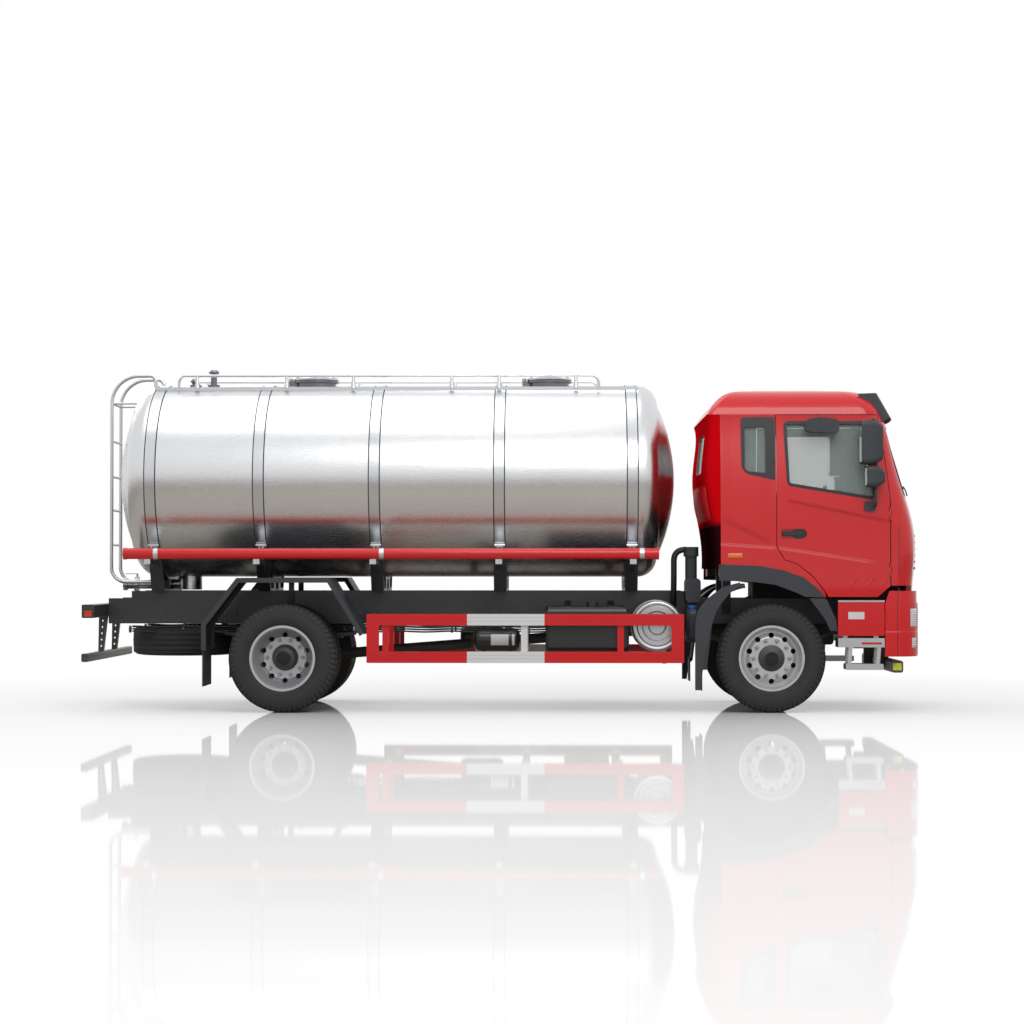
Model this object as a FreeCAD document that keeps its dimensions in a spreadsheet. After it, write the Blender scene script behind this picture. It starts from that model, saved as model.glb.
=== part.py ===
import FreeCAD, Part
import math
import os
import Sketcher

# A two-axle tanker truck with a tilting cab. X runs forward, Y to the left and Z up from the ground.
# The origin lies on the ground, midway along the truck and midway across it. Lengths are millimetres.

Vector = FreeCAD.Vector
Rotation = FreeCAD.Rotation
doc = FreeCAD.newDocument("tanker_truck")
sheet = doc.addObject("Spreadsheet::Sheet", "dims")
driving = {}
nodes = []


class Size:
    """A length worked out from the sheet: its value and the expression that gives it."""

    def __init__(self, value, text):
        self.value = float(value)
        self.text = text

    def __add__(self, other):
        other = as_size(other)
        return Size(self.value + other.value, "(%s + %s)" % (self.text, other.text))

    def __sub__(self, other):
        other = as_size(other)
        return Size(self.value - other.value, "(%s - %s)" % (self.text, other.text))

    def __mul__(self, other):
        other = as_size(other)
        return Size(self.value * other.value, "(%s * %s)" % (self.text, other.text))

    def __truediv__(self, other):
        other = as_size(other)
        return Size(self.value / other.value, "(%s / %s)" % (self.text, other.text))

    def __radd__(self, other):
        return as_size(other) + self

    def __rsub__(self, other):
        return as_size(other) - self

    def __rmul__(self, other):
        return as_size(other) * self

    def __neg__(self):
        return Size(-self.value, "(-1 * %s)" % self.text)


class Sheet:
    """Gives each driving dimension by its alias, as in d.wheelbase."""

    def __getattr__(self, alias):
        return Size(driving[alias], "dims." + alias)


d = Sheet()


def as_size(item):
    return item if isinstance(item, Size) else Size(item, "(%r)" % float(item))


def root(size):
    return Size(math.sqrt(size.value), "sqrt(%s)" % size.text)


def sizes(**named):
    """Writes driving dimensions to the sheet: the alias in column A, the plain number in column B."""
    for alias, value in named.items():
        driving[alias] = value
        row = str(len(driving))
        sheet.set("A" + row, "'" + alias)
        sheet.set("B" + row, str(value))
        sheet.setAlias("B" + row, alias)
    sheet.recompute()


def bind(thing, path, size):
    thing.setExpression(path, as_size(size).text)


def seat(thing, x, y, z, turn=None):
    """Puts a piece's own origin at a place in the truck's frame."""
    thing.Placement = FreeCAD.Placement(Vector(), turn or Rotation())
    bind(thing, "Placement.Base.x", x)
    bind(thing, "Placement.Base.y", y)
    bind(thing, "Placement.Base.z", z)
    return thing


# Primitives and booleans.

ALONG = {"X": Rotation(Vector(0, 1, 0), 90), "Y": Rotation(Vector(1, 0, 0), -90), "Z": Rotation()}
STEP = {"X": Vector(1, 0, 0), "Y": Vector(0, 1, 0), "Z": Vector(0, 0, 1)}


def box(x0, x1, y0, y1, z0, z1):
    block = doc.addObject("Part::Box", "Block")
    bind(block, "Length", as_size(x1) - x0)
    bind(block, "Width", as_size(y1) - y0)
    bind(block, "Height", as_size(z1) - z0)
    return seat(block, x0, y0, z0)


def rod(axis, x, y, z, radius, length):
    """A cylinder that starts at a point and runs up the axis."""
    bar = doc.addObject("Part::Cylinder", "Rod")
    bind(bar, "Radius", radius)
    bind(bar, "Height", length)
    return seat(bar, x, y, z, ALONG[axis])


def cone(axis, x, y, z, radius, end_radius, length):
    taper = doc.addObject("Part::Cone", "Taper")
    bind(taper, "Radius1", radius)
    bind(taper, "Radius2", end_radius)
    bind(taper, "Height", length)
    return seat(taper, x, y, z, ALONG[axis])


def fuse(*pieces):
    joined = doc.addObject("Part::MultiFuse", "Joined")
    joined.Shapes = list(pieces)
    joined.Refine = True
    return joined


def group(*pieces):
    """Like pieces on one body that don't touch."""
    held = doc.addObject("Part::Compound", "Group")
    held.Links = list(pieces)
    return held


def cut(base, *tools):
    bored = doc.addObject("Part::Cut", "Bored")
    bored.Base = base
    bored.Tool = tools[0] if len(tools) == 1 else group(*tools)
    return bored


def common(first, second):
    shared = doc.addObject("Part::MultiCommon", "Shared")
    shared.Shapes = [first, second]
    return shared


def mirrored(piece):
    """The same piece on the truck's other side."""
    twin = doc.addObject("Part::Mirroring", "Twin")
    twin.Source = piece
    twin.Normal = Vector(0, 1, 0)
    return twin


def both(piece):
    return group(piece, mirrored(piece))


def shifted(piece, x, y, z):
    return seat(group(piece), x, y, z)


def node(label, piece):
    """Names a sub-part: the label is its file and its node."""
    piece.Label = label
    nodes.append(piece)
    return piece


# Outlines. A corner is a point of an outline. It may be rounded, or an arc may lead on from it to the next
# corner: a bow above zero turns left, and one below zero turns right.

class Corner:
    def __init__(self, a, b, rounding=None, bow=None):
        self.a = as_size(a)
        self.b = as_size(b)
        self.rounding = as_size(rounding) if rounding else None
        self.bow = as_size(bow) if bow else None


def corners(*points):
    return [point if isinstance(point, Corner) else Corner(*point) for point in points]


def round_off(points, closed):
    """Replaces each rounded corner by the two ends of its arc."""
    flat = []
    count = len(points)
    for index, point in enumerate(points):
        inner = closed or 0 < index < count - 1
        if point.rounding is None or not inner:
            flat.append(point)
            continue
        before = points[index - 1]
        after = points[(index + 1) % count]
        back = Vector(before.a.value - point.a.value, before.b.value - point.b.value, 0).normalize()
        ahead = Vector(after.a.value - point.a.value, after.b.value - point.b.value, 0).normalize()
        reach = 1 / math.tan(back.getAngle(ahead) / 2)
        turn = -1 if ahead.cross(back).z < 0 else 1
        radius = point.rounding
        flat.append(Corner(point.a + radius * (back.x * reach), point.b + radius * (back.y * reach),
                           bow=radius * turn))
        flat.append(Corner(point.a + radius * (ahead.x * reach), point.b + radius * (ahead.y * reach),
                           bow=point.bow))
    return flat


def arc_between(start, end, bow):
    """The short arc from one point to another, turning left for a bow above zero."""
    chord = end - start
    radius = abs(bow)
    height = math.sqrt(max(radius * radius - chord.Length * chord.Length / 4, 0))
    left = Vector(-chord.y, chord.x, 0).normalize()
    centre = start + chord * 0.5 + left * math.copysign(height, bow)
    first, last = (start, end) if bow > 0 else (end, start)
    angles = [math.atan2(spot.y - centre.y, spot.x - centre.x) for spot in (first, last)]
    return Part.ArcOfCircle(Part.Circle(centre, Vector(0, 0, 1), radius), angles[0], angles[1])


def draw(sketch, points, closed=True):
    """Draws an outline of lines and arcs and binds every corner and radius."""
    points = round_off(corners(*points), closed)
    count = len(points)
    spots = [Vector(point.a.value, point.b.value, 0) for point in points]
    sides = count if closed else count - 1
    starts = []
    for index in range(sides):
        start, end = spots[index], spots[(index + 1) % count]
        bow = points[index].bow
        if bow is None:
            sketch.addGeometry(Part.LineSegment(start, end), False)
            starts.append((1, 2))
        else:
            sketch.addGeometry(arc_between(start, end, bow.value), False)
            starts.append((1, 2) if bow.value > 0 else (2, 1))
    held = []
    bound = []
    for index in range(sides):
        following = index + 1
        if following < sides or closed:
            following = following % sides
            held.append(Sketcher.Constraint("Coincident", index, starts[index][1],
                                            following, starts[following][0]))
    for index, point in enumerate(points):
        edge, end = (index, starts[index][0]) if index < sides else (sides - 1, starts[-1][1])
        held.append(Sketcher.Constraint("DistanceX", -1, 1, edge, end, point.a.value))
        bound.append((len(held) - 1, point.a))
        held.append(Sketcher.Constraint("DistanceY", -1, 1, edge, end, point.b.value))
        bound.append((len(held) - 1, point.b))
        if point.bow is not None and index < sides:
            held.append(Sketcher.Constraint("Radius", index, abs(point.bow.value)))
            bound.append((len(held) - 1, point.bow if point.bow.value > 0 else -point.bow))
    sketch.addConstraint(held)
    for number, size in bound:
        bind(sketch, "Constraints[%d]" % number, size)
    return sketch


FACING = {"XY": Rotation(), "XZ": Rotation(Vector(1, 0, 0), 90), "YZ": Rotation(Vector(1, 1, 1), 120)}
NORMAL = {"XY": "Z", "XZ": "Y", "YZ": "X"}


def lift(plane, at):
    """The place of a sketch plane that stands off from the origin."""
    return {"XY": (0, 0, at), "XZ": (0, at, 0), "YZ": (at, 0, 0)}[plane]


def sketch_at(plane, at, points, closed=True):
    sketch = doc.addObject("Sketcher::SketchObject", "Outline")
    draw(sketch, points, closed)
    return seat(sketch, *lift(plane, at), FACING[plane])


def prism(plane, points, low, high):
    """An outline on a plane, carried square to it from one place to another."""
    low = as_size(low)
    solid = doc.addObject("Part::Extrusion", "Prism")
    solid.Base = sketch_at(plane, low, points)
    solid.DirMode = "Custom"
    solid.Dir = STEP[NORMAL[plane]]
    solid.Solid = True
    bind(solid, "LengthFwd", as_size(high) - low)
    return solid


def pipe(plane, at, points, radius):
    """A round tube along a path of straight runs and arcs on a plane."""
    path = sketch_at(plane, at, points, closed=False)
    flat = round_off(corners(*points), False)
    first, second = flat[0], flat[1]
    run = Vector(second.a.value - first.a.value, second.b.value - first.b.value, 0)
    if first.bow is not None:
        arc = arc_between(Vector(first.a.value, first.b.value, 0),
                          Vector(second.a.value, second.b.value, 0), first.bow.value)
        run = arc.tangent(arc.FirstParameter)[0] if first.bow.value > 0 else -arc.tangent(arc.LastParameter)[0]
    heading = FACING[plane].multVec(run)
    ring = doc.addObject("Part::Circle", "Ring")
    bind(ring, "Radius", radius)
    place = {"XY": (first.a, first.b, at), "XZ": (first.a, at, first.b), "YZ": (at, first.a, first.b)}[plane]
    seat(ring, *place, Rotation(Vector(0, 0, 1), heading))
    swept = doc.addObject("Part::Sweep", "Tube")
    swept.Sections = [ring]
    swept.Spine = (path, ["Edge%d" % (number + 1) for number in range(len(flat) - 1)])
    swept.Solid = True
    return swept


def new_body(label=None):
    body = doc.addObject("PartDesign::Body", "Piece")
    return node(label, body) if label else body


def attached(body, plane, offset, points):
    """A sketch on one of the body's own planes. XZ faces backwards along Y, so its offset changes sign."""
    sketch = body.newObject("Sketcher::SketchObject", "Profile")
    role = plane + "_Plane"
    own_plane = [feature for feature in body.Origin.OriginFeatures if feature.Role == role][0]
    sketch.AttachmentSupport = [(own_plane, "")]
    sketch.MapMode = "FlatFace"
    bind(sketch, "AttachmentOffset.Base.z", -as_size(offset) if plane == "XZ" else offset)
    return draw(sketch, points)


def pad(body, plane, points, low, high):
    """Adds an outline's solid to a body, from one place along the plane's normal to another."""
    low, high = as_size(low), as_size(high)
    sketch = attached(body, plane, high if plane == "XZ" else low, points)
    added = body.newObject("PartDesign::Pad", "Pad")
    added.Profile = sketch
    bind(added, "Length", high - low)
    sketch.Visibility = False
    return body


def pocket(body, plane, points, low, high):
    low, high = as_size(low), as_size(high)
    sketch = attached(body, plane, low if plane == "XZ" else high, points)
    removed = body.newObject("PartDesign::Pocket", "Pocket")
    removed.Profile = sketch
    bind(removed, "Length", high - low)
    return body


def revolve(body, plane, points):
    """Turns a profile about its sketch's horizontal axis."""
    sketch = attached(body, plane, 0, points)
    turned = body.newObject("PartDesign::Revolution", "Turned")
    turned.Profile = sketch
    turned.ReferenceAxis = (sketch, ["H_Axis"])
    turned.Angle = 360
    return body


def ring_of_holes(body, plane, across, up, radius, low, high, count, axis):
    """Bores one round hole and repeats it about one of the body's own axes."""
    low, high = as_size(low), as_size(high)
    sketch = body.newObject("Sketcher::SketchObject", "Hole")
    own_plane = [feature for feature in body.Origin.OriginFeatures if feature.Role == plane + "_Plane"][0]
    sketch.AttachmentSupport = [(own_plane, "")]
    sketch.MapMode = "FlatFace"
    bind(sketch, "AttachmentOffset.Base.z", -low if plane == "XZ" else high)
    across, up, radius = as_size(across), as_size(up), as_size(radius)
    sketch.addGeometry(Part.Circle(Vector(across.value, up.value, 0), Vector(0, 0, 1), radius.value), False)
    sketch.addConstraint([Sketcher.Constraint("DistanceX", -1, 1, 0, 3, across.value),
                          Sketcher.Constraint("DistanceY", -1, 1, 0, 3, up.value),
                          Sketcher.Constraint("Radius", 0, radius.value)])
    for number, size in enumerate((across, up, radius)):
        bind(sketch, "Constraints[%d]" % number, size)
    bore = body.newObject("PartDesign::Pocket", "Bore")
    bore.Profile = sketch
    bind(bore, "Length", high - low)
    if count > 1:
        spread = body.newObject("PartDesign::PolarPattern", "Spread")
        spread.Originals = [bore]
        spread.Axis = ([feature for feature in body.Origin.OriginFeatures if feature.Role == axis][0], [""])
        spread.Angle = 360
        spread.Occurrences = count
        body.Tip = spread
    return body


def slab(x0, x1, z0, z1, rounding=None):
    """The corners of an upright rectangle, for an outline on XZ, YZ or XY."""
    return [(x0, z0, rounding), (x1, z0, rounding), (x1, z1, rounding), (x0, z1, rounding)]


# The truck as a whole. Its outer sizes and the two axles place everything else.

sizes(overall_length=7820, overall_width=2500, wheelbase=4500, front_overhang=1450,
      tyre_radius=500, tyre_width=275, bead_radius=286, running_gap=6)
front_end = d.overall_length / 2
rear_end = -front_end
front_axle = front_end - d.front_overhang
rear_axle = front_axle - d.wheelbase
axle_height = d.tyre_radius
side = d.overall_width / 2

# Frame rails: two pressed channels, open inwards. Cross-members tie them, brackets at the front hold the cab's
# tilting pins, and a beam across the front carries the bumper and the bar below it.

sizes(rail_half_spread=430, rail_bottom=805, rail_top=1045, rail_wall=8, rail_flange=80, rail_rear=-3780,
      rail_front=3450)


def rail():
    out, inner = -d.rail_half_spread, -d.rail_half_spread + d.rail_flange
    web = out + d.rail_wall
    profile = [(out, d.rail_bottom), (inner, d.rail_bottom), (inner, d.rail_bottom + d.rail_wall),
               (web, d.rail_bottom + d.rail_wall), (web, d.rail_top - d.rail_wall),
               (inner, d.rail_top - d.rail_wall), (inner, d.rail_top), (out, d.rail_top)]
    return pad(new_body(), "YZ", profile, d.rail_rear, d.rail_front)


node("frame_rails", both(rail()))

sizes(pivot_x=3750, pivot_z=1090, pivot_pin=20, floor_low=1330, floor_high=1370, lug_inner=455, lug_outer=485,
      pin_play=0.05)
sizes(cross_depth=150, cross_width=70, cross_wall=8, bracket_wall=20, rest_rear=2050, rest_depth=80,
      rest_low=900, rest_gap=6, longeron_depth=80)
sizes(beam_rear=3490, beam_front=3560, beam_low=640, beam_high=800, beam_half=1217, underrun_low=370,
      underrun_high=480, underrun_front=3665, underrun_half=1130)


def cross_member(x):
    """A channel between the rails' webs, open below."""
    low, high = d.rail_top - d.rail_wall - d.cross_depth, d.rail_top - d.rail_wall
    reach = d.rail_half_spread - d.rail_wall
    profile = [(x, low), (x + d.cross_wall, low), (x + d.cross_wall, high - d.cross_wall),
               (x + d.cross_width - d.cross_wall, high - d.cross_wall), (x + d.cross_width - d.cross_wall, low),
               (x + d.cross_width, low), (x + d.cross_width, high), (x, high)]
    return pad(new_body(), "XZ", profile, -reach, reach)


SPARE_CROSS = -3145
CROSS_PLACES = (-3700, SPARE_CROSS, -2620, -1420, -350, 950, 1600)
cross_members = [cross_member(place) for place in CROSS_PLACES]


def cab_bracket():
    """The plate on the rail's front end that holds the cab's tilting pin, and the rest below its back."""
    nose = d.pivot_x + 26
    plate = prism("XZ", [(3250, 850), (3500, 850), (3700, d.pivot_z - 40, 60), (nose, d.pivot_z - 26, 18),
                         (nose, d.pivot_z + 27, 25), (3500, d.pivot_z + 27, 60), (3250, 1000)],
                  d.rail_half_spread, d.rail_half_spread + d.bracket_wall)
    window = prism("XZ", [(3330, 900, 15), (3480, 900, 15), (3560, 990, 15), (3500, 1050, 20), (3380, 1010, 15)],
                   d.rail_half_spread - 1, d.rail_half_spread + d.bracket_wall + 1)
    pin = rod("Y", d.pivot_x, d.rail_half_spread, d.pivot_z, d.pivot_pin, 62)
    rest_top = d.floor_low - d.longeron_depth - d.rest_gap
    rest = prism("YZ", [(d.rail_half_spread, d.rest_low), (d.rail_half_spread + 20, d.rest_low),
                        (d.rail_half_spread + 62, rest_top - 120), (d.rail_half_spread + 62, rest_top),
                        (d.rail_half_spread, rest_top)], d.rest_rear, d.rest_rear + d.rest_depth)
    return group(fuse(cut(plate, window), pin), rest)


def front_beam():
    """The bumper's beam on two hangers under the rails, and the under-run bar on legs below it."""
    beam = box(d.beam_rear, d.beam_front, -d.beam_half, d.beam_half, d.beam_low, d.beam_high)
    hanger = box(3300, d.beam_front, -d.rail_half_spread, -d.rail_half_spread + d.rail_flange, d.beam_low,
                 d.rail_bottom)
    hanger_nose = box(d.rail_front, d.beam_front + 1, -d.rail_half_spread - 1, -d.rail_half_spread + d.rail_flange + 1,
                      d.beam_high, d.rail_bottom + 1)
    leg = prism("XZ", [(d.beam_rear, d.underrun_low + 20), (d.underrun_front, d.underrun_low + 20),
                       (d.beam_front, d.beam_low), (d.beam_rear, d.beam_low)], -d.rail_half_spread,
                -d.rail_half_spread + 30)
    bar = prism("XZ", slab(d.beam_front, d.underrun_front, d.underrun_low, d.underrun_high, 22),
                -d.underrun_half, d.underrun_half)
    pair = cut(hanger, hanger_nose)
    return fuse(beam, pair, mirrored(pair), leg, mirrored(leg), bar)


left_bracket = cab_bracket()
node("frame_crossmembers", group(*cross_members, left_bracket, mirrored(left_bracket), front_beam()))


# The tank: an elliptical barrel with dished heads, five clamped bands round it and a cradle below.

sizes(tank_rear=-3702, tank_front=1613, tank_height=2170, tank_half_height=920, tank_half_width=1100,
      knuckle=180, dish=170, band_width=100, band_wall=4, band_gap=0.3)


def tank_profile(half_height):
    """Half the side view: barrel, knuckle arcs and dished ends, down to the axis."""
    crown = half_height - d.knuckle
    dish_radius = (crown * crown + d.dish * d.dish) / (d.dish * 2)
    back, front = d.tank_rear, d.tank_front
    return [(back, 0, None, -dish_radius), (back + d.dish, crown, None, -d.knuckle),
            (back + d.dish + d.knuckle, half_height), (front - d.dish - d.knuckle, half_height, None, -d.knuckle),
            (front - d.dish, crown, None, -dish_radius), (front, 0)]


def widened(shape):
    """Widens a round form about the tank's axis into the tank's ellipse, and lifts it to the tank's height."""
    matrix = FreeCAD.Matrix()
    matrix.A22 = driving["tank_half_width"] / driving["tank_half_height"]
    matrix.A34 = driving["tank_height"]
    return shape.transformGeometry(matrix)


barrel = revolve(new_body(), "XZ", tank_profile(d.tank_half_height))
doc.recompute()
tank = doc.addObject("Part::Feature", "Tank")
tank.Shape = widened(barrel.Shape)
node("tank", tank)


def ellipse_disc(grow, x, length):
    """A slice of an elliptical bar, grown all round from the tank's own section."""
    oval = doc.addObject("Part::Ellipse", "Oval")
    bind(oval, "MajorRadius", d.tank_half_width + grow)
    bind(oval, "MinorRadius", d.tank_half_height + grow)
    seat(oval, x, 0, d.tank_height, FACING["YZ"])
    slice_ = doc.addObject("Part::Extrusion", "Slice")
    slice_.Base = oval
    slice_.DirMode = "Custom"
    slice_.Dir = STEP["X"]
    slice_.Solid = True
    bind(slice_, "LengthFwd", length)
    return slice_


BAND_PLACES = (-3289, -2281, -1207, -49, 1187)


def clear_of_tank(piece, x0, x1):
    """Hollows a fitting's foot to the barrel's curve, and to the bands' where it crosses them."""
    tools = [ellipse_disc(d.band_gap, x0, as_size(x1) - x0)]
    for place in BAND_PLACES:
        if x0 < place < x1:
            tools.append(ellipse_disc(d.band_gap * 2 + d.band_wall, place - d.band_width / 2 - d.band_gap,
                                      d.band_width + d.band_gap * 2))
    return cut(piece, *tools)


# The red hose tubes lie along both flanks on arms that stand out from the cradle, held by straps.

sizes(hose_tube_radius=51, hose_tube_height=1464, hose_tube_rear=-3508, hose_tube_front=1423, hose_tube_wall=4,
      hose_cap=12, strap_wall=4, strap_width=40, arm_width=60, arm_depth=46, arm_root=110)
hose_y = -(side - d.hose_tube_radius - 4)
arm_top = d.hose_tube_height - d.hose_tube_radius - d.band_gap


def hose_tube():
    length = d.hose_tube_front - d.hose_tube_rear
    tube = rod("X", d.hose_tube_rear, hose_y, d.hose_tube_height, d.hose_tube_radius, length)
    collars = [rod("X", d.hose_tube_rear, hose_y, d.hose_tube_height, d.hose_tube_radius + d.strap_wall, 30),
               rod("X", d.hose_tube_front - 30, hose_y, d.hose_tube_height, d.hose_tube_radius + d.strap_wall, 30)]
    straps = [rod("X", place + d.arm_width, hose_y, d.hose_tube_height, d.hose_tube_radius + d.strap_wall,
                  d.strap_width) for place in BAND_PLACES[::2]]
    bore = rod("X", d.hose_tube_rear + d.hose_cap, hose_y, d.hose_tube_height, d.hose_tube_radius - d.hose_tube_wall,
               length - d.hose_cap * 2)
    return cut(fuse(tube, *collars, *straps), bore)


node("hose_tubes", both(hose_tube()))

sizes(cradle_top=1115, cradle_rear=-3560, cradle_front=1700, saddle_half=60, saddle_reach=760, saddle_rise=1470,
      saddle_foot=560, saddle_flange=14, bar_width=60, clamp_bar=16, clamp_rod=9)
flank_slope = (d.saddle_reach - d.saddle_foot) / (d.saddle_rise - d.cradle_top)


def flank_at(height):
    """How far out the saddle's slanted side is at a height."""
    return d.saddle_foot + (height - d.cradle_top) * flank_slope


def saddle(x):
    """A welded bolster under a band: a web with flanges round it, notched for the discharge pipe."""
    near, far = x - d.saddle_half, x + d.saddle_half
    flank = [(-d.saddle_foot, d.cradle_top), (d.saddle_foot, d.cradle_top),
             (d.saddle_reach, d.saddle_rise), (-d.saddle_reach, d.saddle_rise)]
    block = prism("YZ", flank, near, far)
    tools = [ellipse_disc(d.band_gap * 2 + d.band_wall, x - 100, 200),
             prism("YZ", slab(-110, 110, d.cradle_top + 14, d.cradle_top + 112, 20), near - 1, far + 1)]
    for turn in (-1, 1):
        panel = [(turn * 290, d.cradle_top + 25, 12), (turn * 530, d.cradle_top + 25, 12),
                 (turn * 660, d.cradle_top + 225, 12), (turn * 600, d.cradle_top + 195, 12),
                 (turn * 290, d.cradle_top + 112, 12)]
        for low, high in ((near - 1, near + 40), (far - 40, far + 1)):
            tools.append(prism("YZ", panel, low, high))
    return cut(block, *tools)


def tube_arm(x):
    """A gusseted arm from the saddle's flank out to the hose tube."""
    low = arm_top - d.arm_depth
    tip, root_low = -side + 40, low - d.arm_root + d.arm_depth
    outline = [(tip, low), (-flank_at(low) - 180, low), (-flank_at(root_low), root_low), (-flank_at(arm_top), arm_top),
               (tip, arm_top)]
    return prism("YZ", outline, x - d.arm_width / 2, x + d.arm_width / 2)


def tank_band(x):
    """A flat band with a clamping bar on each flank, drawn down to the arm by a threaded rod."""
    start = x - d.band_width / 2
    ring = cut(ellipse_disc(d.band_gap + d.band_wall, start, d.band_width),
               ellipse_disc(d.band_gap, start, d.band_width))
    bar_y, bar_z = -830, 1544
    bar = rod("X", start, bar_y, bar_z, d.clamp_bar, d.band_width)
    screws = [rod("Z", x + offset, bar_y, arm_top, d.clamp_rod, bar_z - arm_top) for offset in (-18, 18)]
    clamp = cut(fuse(bar, *screws), ellipse_disc(d.band_gap + 1, start - 1, d.band_width + 2))
    return fuse(ring, clamp, mirrored(clamp))


subframe_bar = box(d.cradle_rear, d.cradle_front, -d.rail_half_spread, -d.rail_half_spread + d.bar_width,
                   d.rail_top, d.cradle_top)
cradle_parts = [subframe_bar, mirrored(subframe_bar)] + [saddle(x) for x in BAND_PLACES]
node("tank_cradle", fuse(*cradle_parts))
arms = [both(tube_arm(x)) for x in BAND_PLACES]
node("tank_bands", group(*[tank_band(x) for x in BAND_PLACES], *arms))


# Ladder over the back of the tank, standing off its head on braces, with feet on the barrel and the last saddle.

sizes(ladder_half=250, ladder_tube=17, ladder_x=-3787, ladder_low=1200, ladder_high=3176, ladder_bend=260,
      ladder_end=-3366, rung_radius=12, brace_radius=10, head_at_brace=-3531)
RUNG_HEIGHTS = (1556, 1888, 2210, 2551, 2912)
saddle_back = BAND_PLACES[0] - d.saddle_half


def ladder_rail(y):
    path = [(saddle_back, d.ladder_low), (d.ladder_x, d.ladder_low, 140), (d.ladder_x, d.ladder_high, d.ladder_bend),
            (d.ladder_end, d.ladder_high, 50), (d.ladder_end, 3072)]
    foot = box(d.ladder_end - 10, d.ladder_end + 30, as_size(y) - 30, as_size(y) + 30, 3040, 3082)
    plate = box(saddle_back - 8, saddle_back, as_size(y) - 35, as_size(y) + 35, d.ladder_low - 35, d.ladder_low + 35)
    brace = rod("X", d.ladder_x, y, RUNG_HEIGHTS[-1], d.brace_radius, d.head_at_brace - d.ladder_x)
    return fuse(pipe("XZ", y, path, d.ladder_tube), clear_of_tank(foot, -3420, -3280), plate, brace)


rungs = [rod("Y", d.ladder_x, -d.ladder_half, height, d.rung_radius, d.ladder_half * 2) for height in RUNG_HEIGHTS]
node("ladder", fuse(ladder_rail(-d.ladder_half), ladder_rail(d.ladder_half), *rungs))


# Handrails with tapered posts and a kick strip, manholes with clamped lids, and the vents, on top of the tank.

sizes(handrail_y=400, handrail_height=3165, handrail_rear=-3120, handrail_front=886, handrail_tube=13,
      strip_rear=-3350, strip_front=1260, strip_wall=8, strip_top=3060, post_base=24, post_top=13)
POST_PLACES = (-2946, -2090, -1453, -514, -65, 667)


def handrail():
    """A bent tube on posts, all standing on a strip that is cut to the tank's curve."""
    y = -d.handrail_y
    foot = d.strip_top - 14
    path = [(d.handrail_rear, foot), (d.handrail_rear, d.handrail_height, 70),
            (d.handrail_front, d.handrail_height, 70), (d.handrail_front, foot)]
    posts = [cone("Z", x, y, foot, d.post_base, d.post_top, d.handrail_height - foot) for x in POST_PLACES]
    strip = box(d.strip_rear, d.strip_front, y - d.strip_wall / 2, y + d.strip_wall / 2, d.strip_top - 60,
                d.strip_top)
    return fuse(pipe("XZ", y, path, d.handrail_tube), clear_of_tank(strip, -3400, 1300), *posts)


node("tank_handrails", both(handrail()))

sizes(neck_radius=188, neck_bore=178, neck_rim=215, neck_top=3140, neck_floor=3091, rim_depth=20, hinge_back=245,
      hinge_lift=10, lid_radius=215, lid_wall=14, lid_dome=30, dome_radius=160)
MANHOLES = {"rear": -1843, "front": 414}


def manhole_neck(x):
    low = d.neck_top - 90
    wall = rod("Z", x, 0, low, d.neck_radius, d.neck_top - low)
    rim_ring = rod("Z", x, 0, d.neck_top - d.rim_depth, d.neck_rim, d.rim_depth)
    outline = [(x - 262, d.neck_top - 50), (x - 185, d.neck_top - 50), (x - 185, d.neck_top - 4),
               (x - 226, d.neck_top - 4), (x - 226, d.neck_top + 24, 8), (x - 262, d.neck_top + 24, 8)]
    ears = [prism("XZ", outline, y, y + 12) for y in (-50, 38)]
    bores = [rod("Z", x, 0, d.neck_floor, d.neck_bore, 100),
             rod("Y", x - d.hinge_back, -60, d.neck_top + d.hinge_lift, 8, 120)]
    return cut(clear_of_tank(fuse(wall, rim_ring, *ears), x - 300, x + 300), *bores)


def manhole_lid(x):
    """A flanged disc with a shallow dome, held down by six dogs, on a pin through the neck's ears."""
    low = d.neck_top + d.running_gap
    dome = cone("Z", x, 0, low + d.lid_wall, d.dome_radius, d.dome_radius * 0.55, d.lid_dome)
    disc = rod("Z", x, 0, low, d.lid_radius, d.lid_wall)
    reach = d.lid_radius.value - 14
    dogs = [rod("Z", x + reach * math.cos(turn), reach * math.sin(turn), low + d.lid_wall - 1, 13, 24)
            for turn in (math.radians(30 + 60 * step) for step in range(6))]
    pin_z = d.neck_top + d.hinge_lift
    knuckle = fuse(rod("Y", x - d.hinge_back, -33, pin_z, 13, 66), rod("Y", x - d.hinge_back, -55, pin_z, 7.95, 110),
                   box(x - d.hinge_back, x - 200, -30, 30, d.neck_top + d.running_gap, d.neck_top + 20))
    handle = pipe("YZ", x + 60, [(-50, low + d.lid_wall), (-50, low + 58, 14), (50, low + 58, 14),
                                 (50, low + d.lid_wall)], 7)
    return fuse(disc, dome, knuckle, handle, *dogs)


def vent(x, y, height, radius):
    """A breather on a flanged stub, with a mushroom cap."""
    base = fuse(rod("Z", x, y, 3060, radius * 1.9, 36), rod("Z", x, y, 3060, radius, height - 3060 - 30),
                cone("Z", x, y, height - 46, radius * 1.1, radius * 1.7, 16),
                rod("Z", x, y, height - 30, radius * 1.7, 12), cone("Z", x, y, height - 18, radius * 1.7, radius, 18))
    return clear_of_tank(base, x - 120, x + 120)


valve_lever = prism("XZ", [(-3012, 3120), (-2920, 3052), (-2908, 3064), (-2998, 3136)], -158, -142)
top_valve = fuse(vent(-3005, -150, 3155, 24), cut(valve_lever, ellipse_disc(d.band_gap, -3100, 300)))
node("manhole_necks", group(manhole_neck(MANHOLES["rear"]), manhole_neck(MANHOLES["front"]),
                            vent(-2820, -150, 3240, 30), top_valve))
for place, x in MANHOLES.items():
    node(place + "_manhole_lid", manhole_lid(x))


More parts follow.
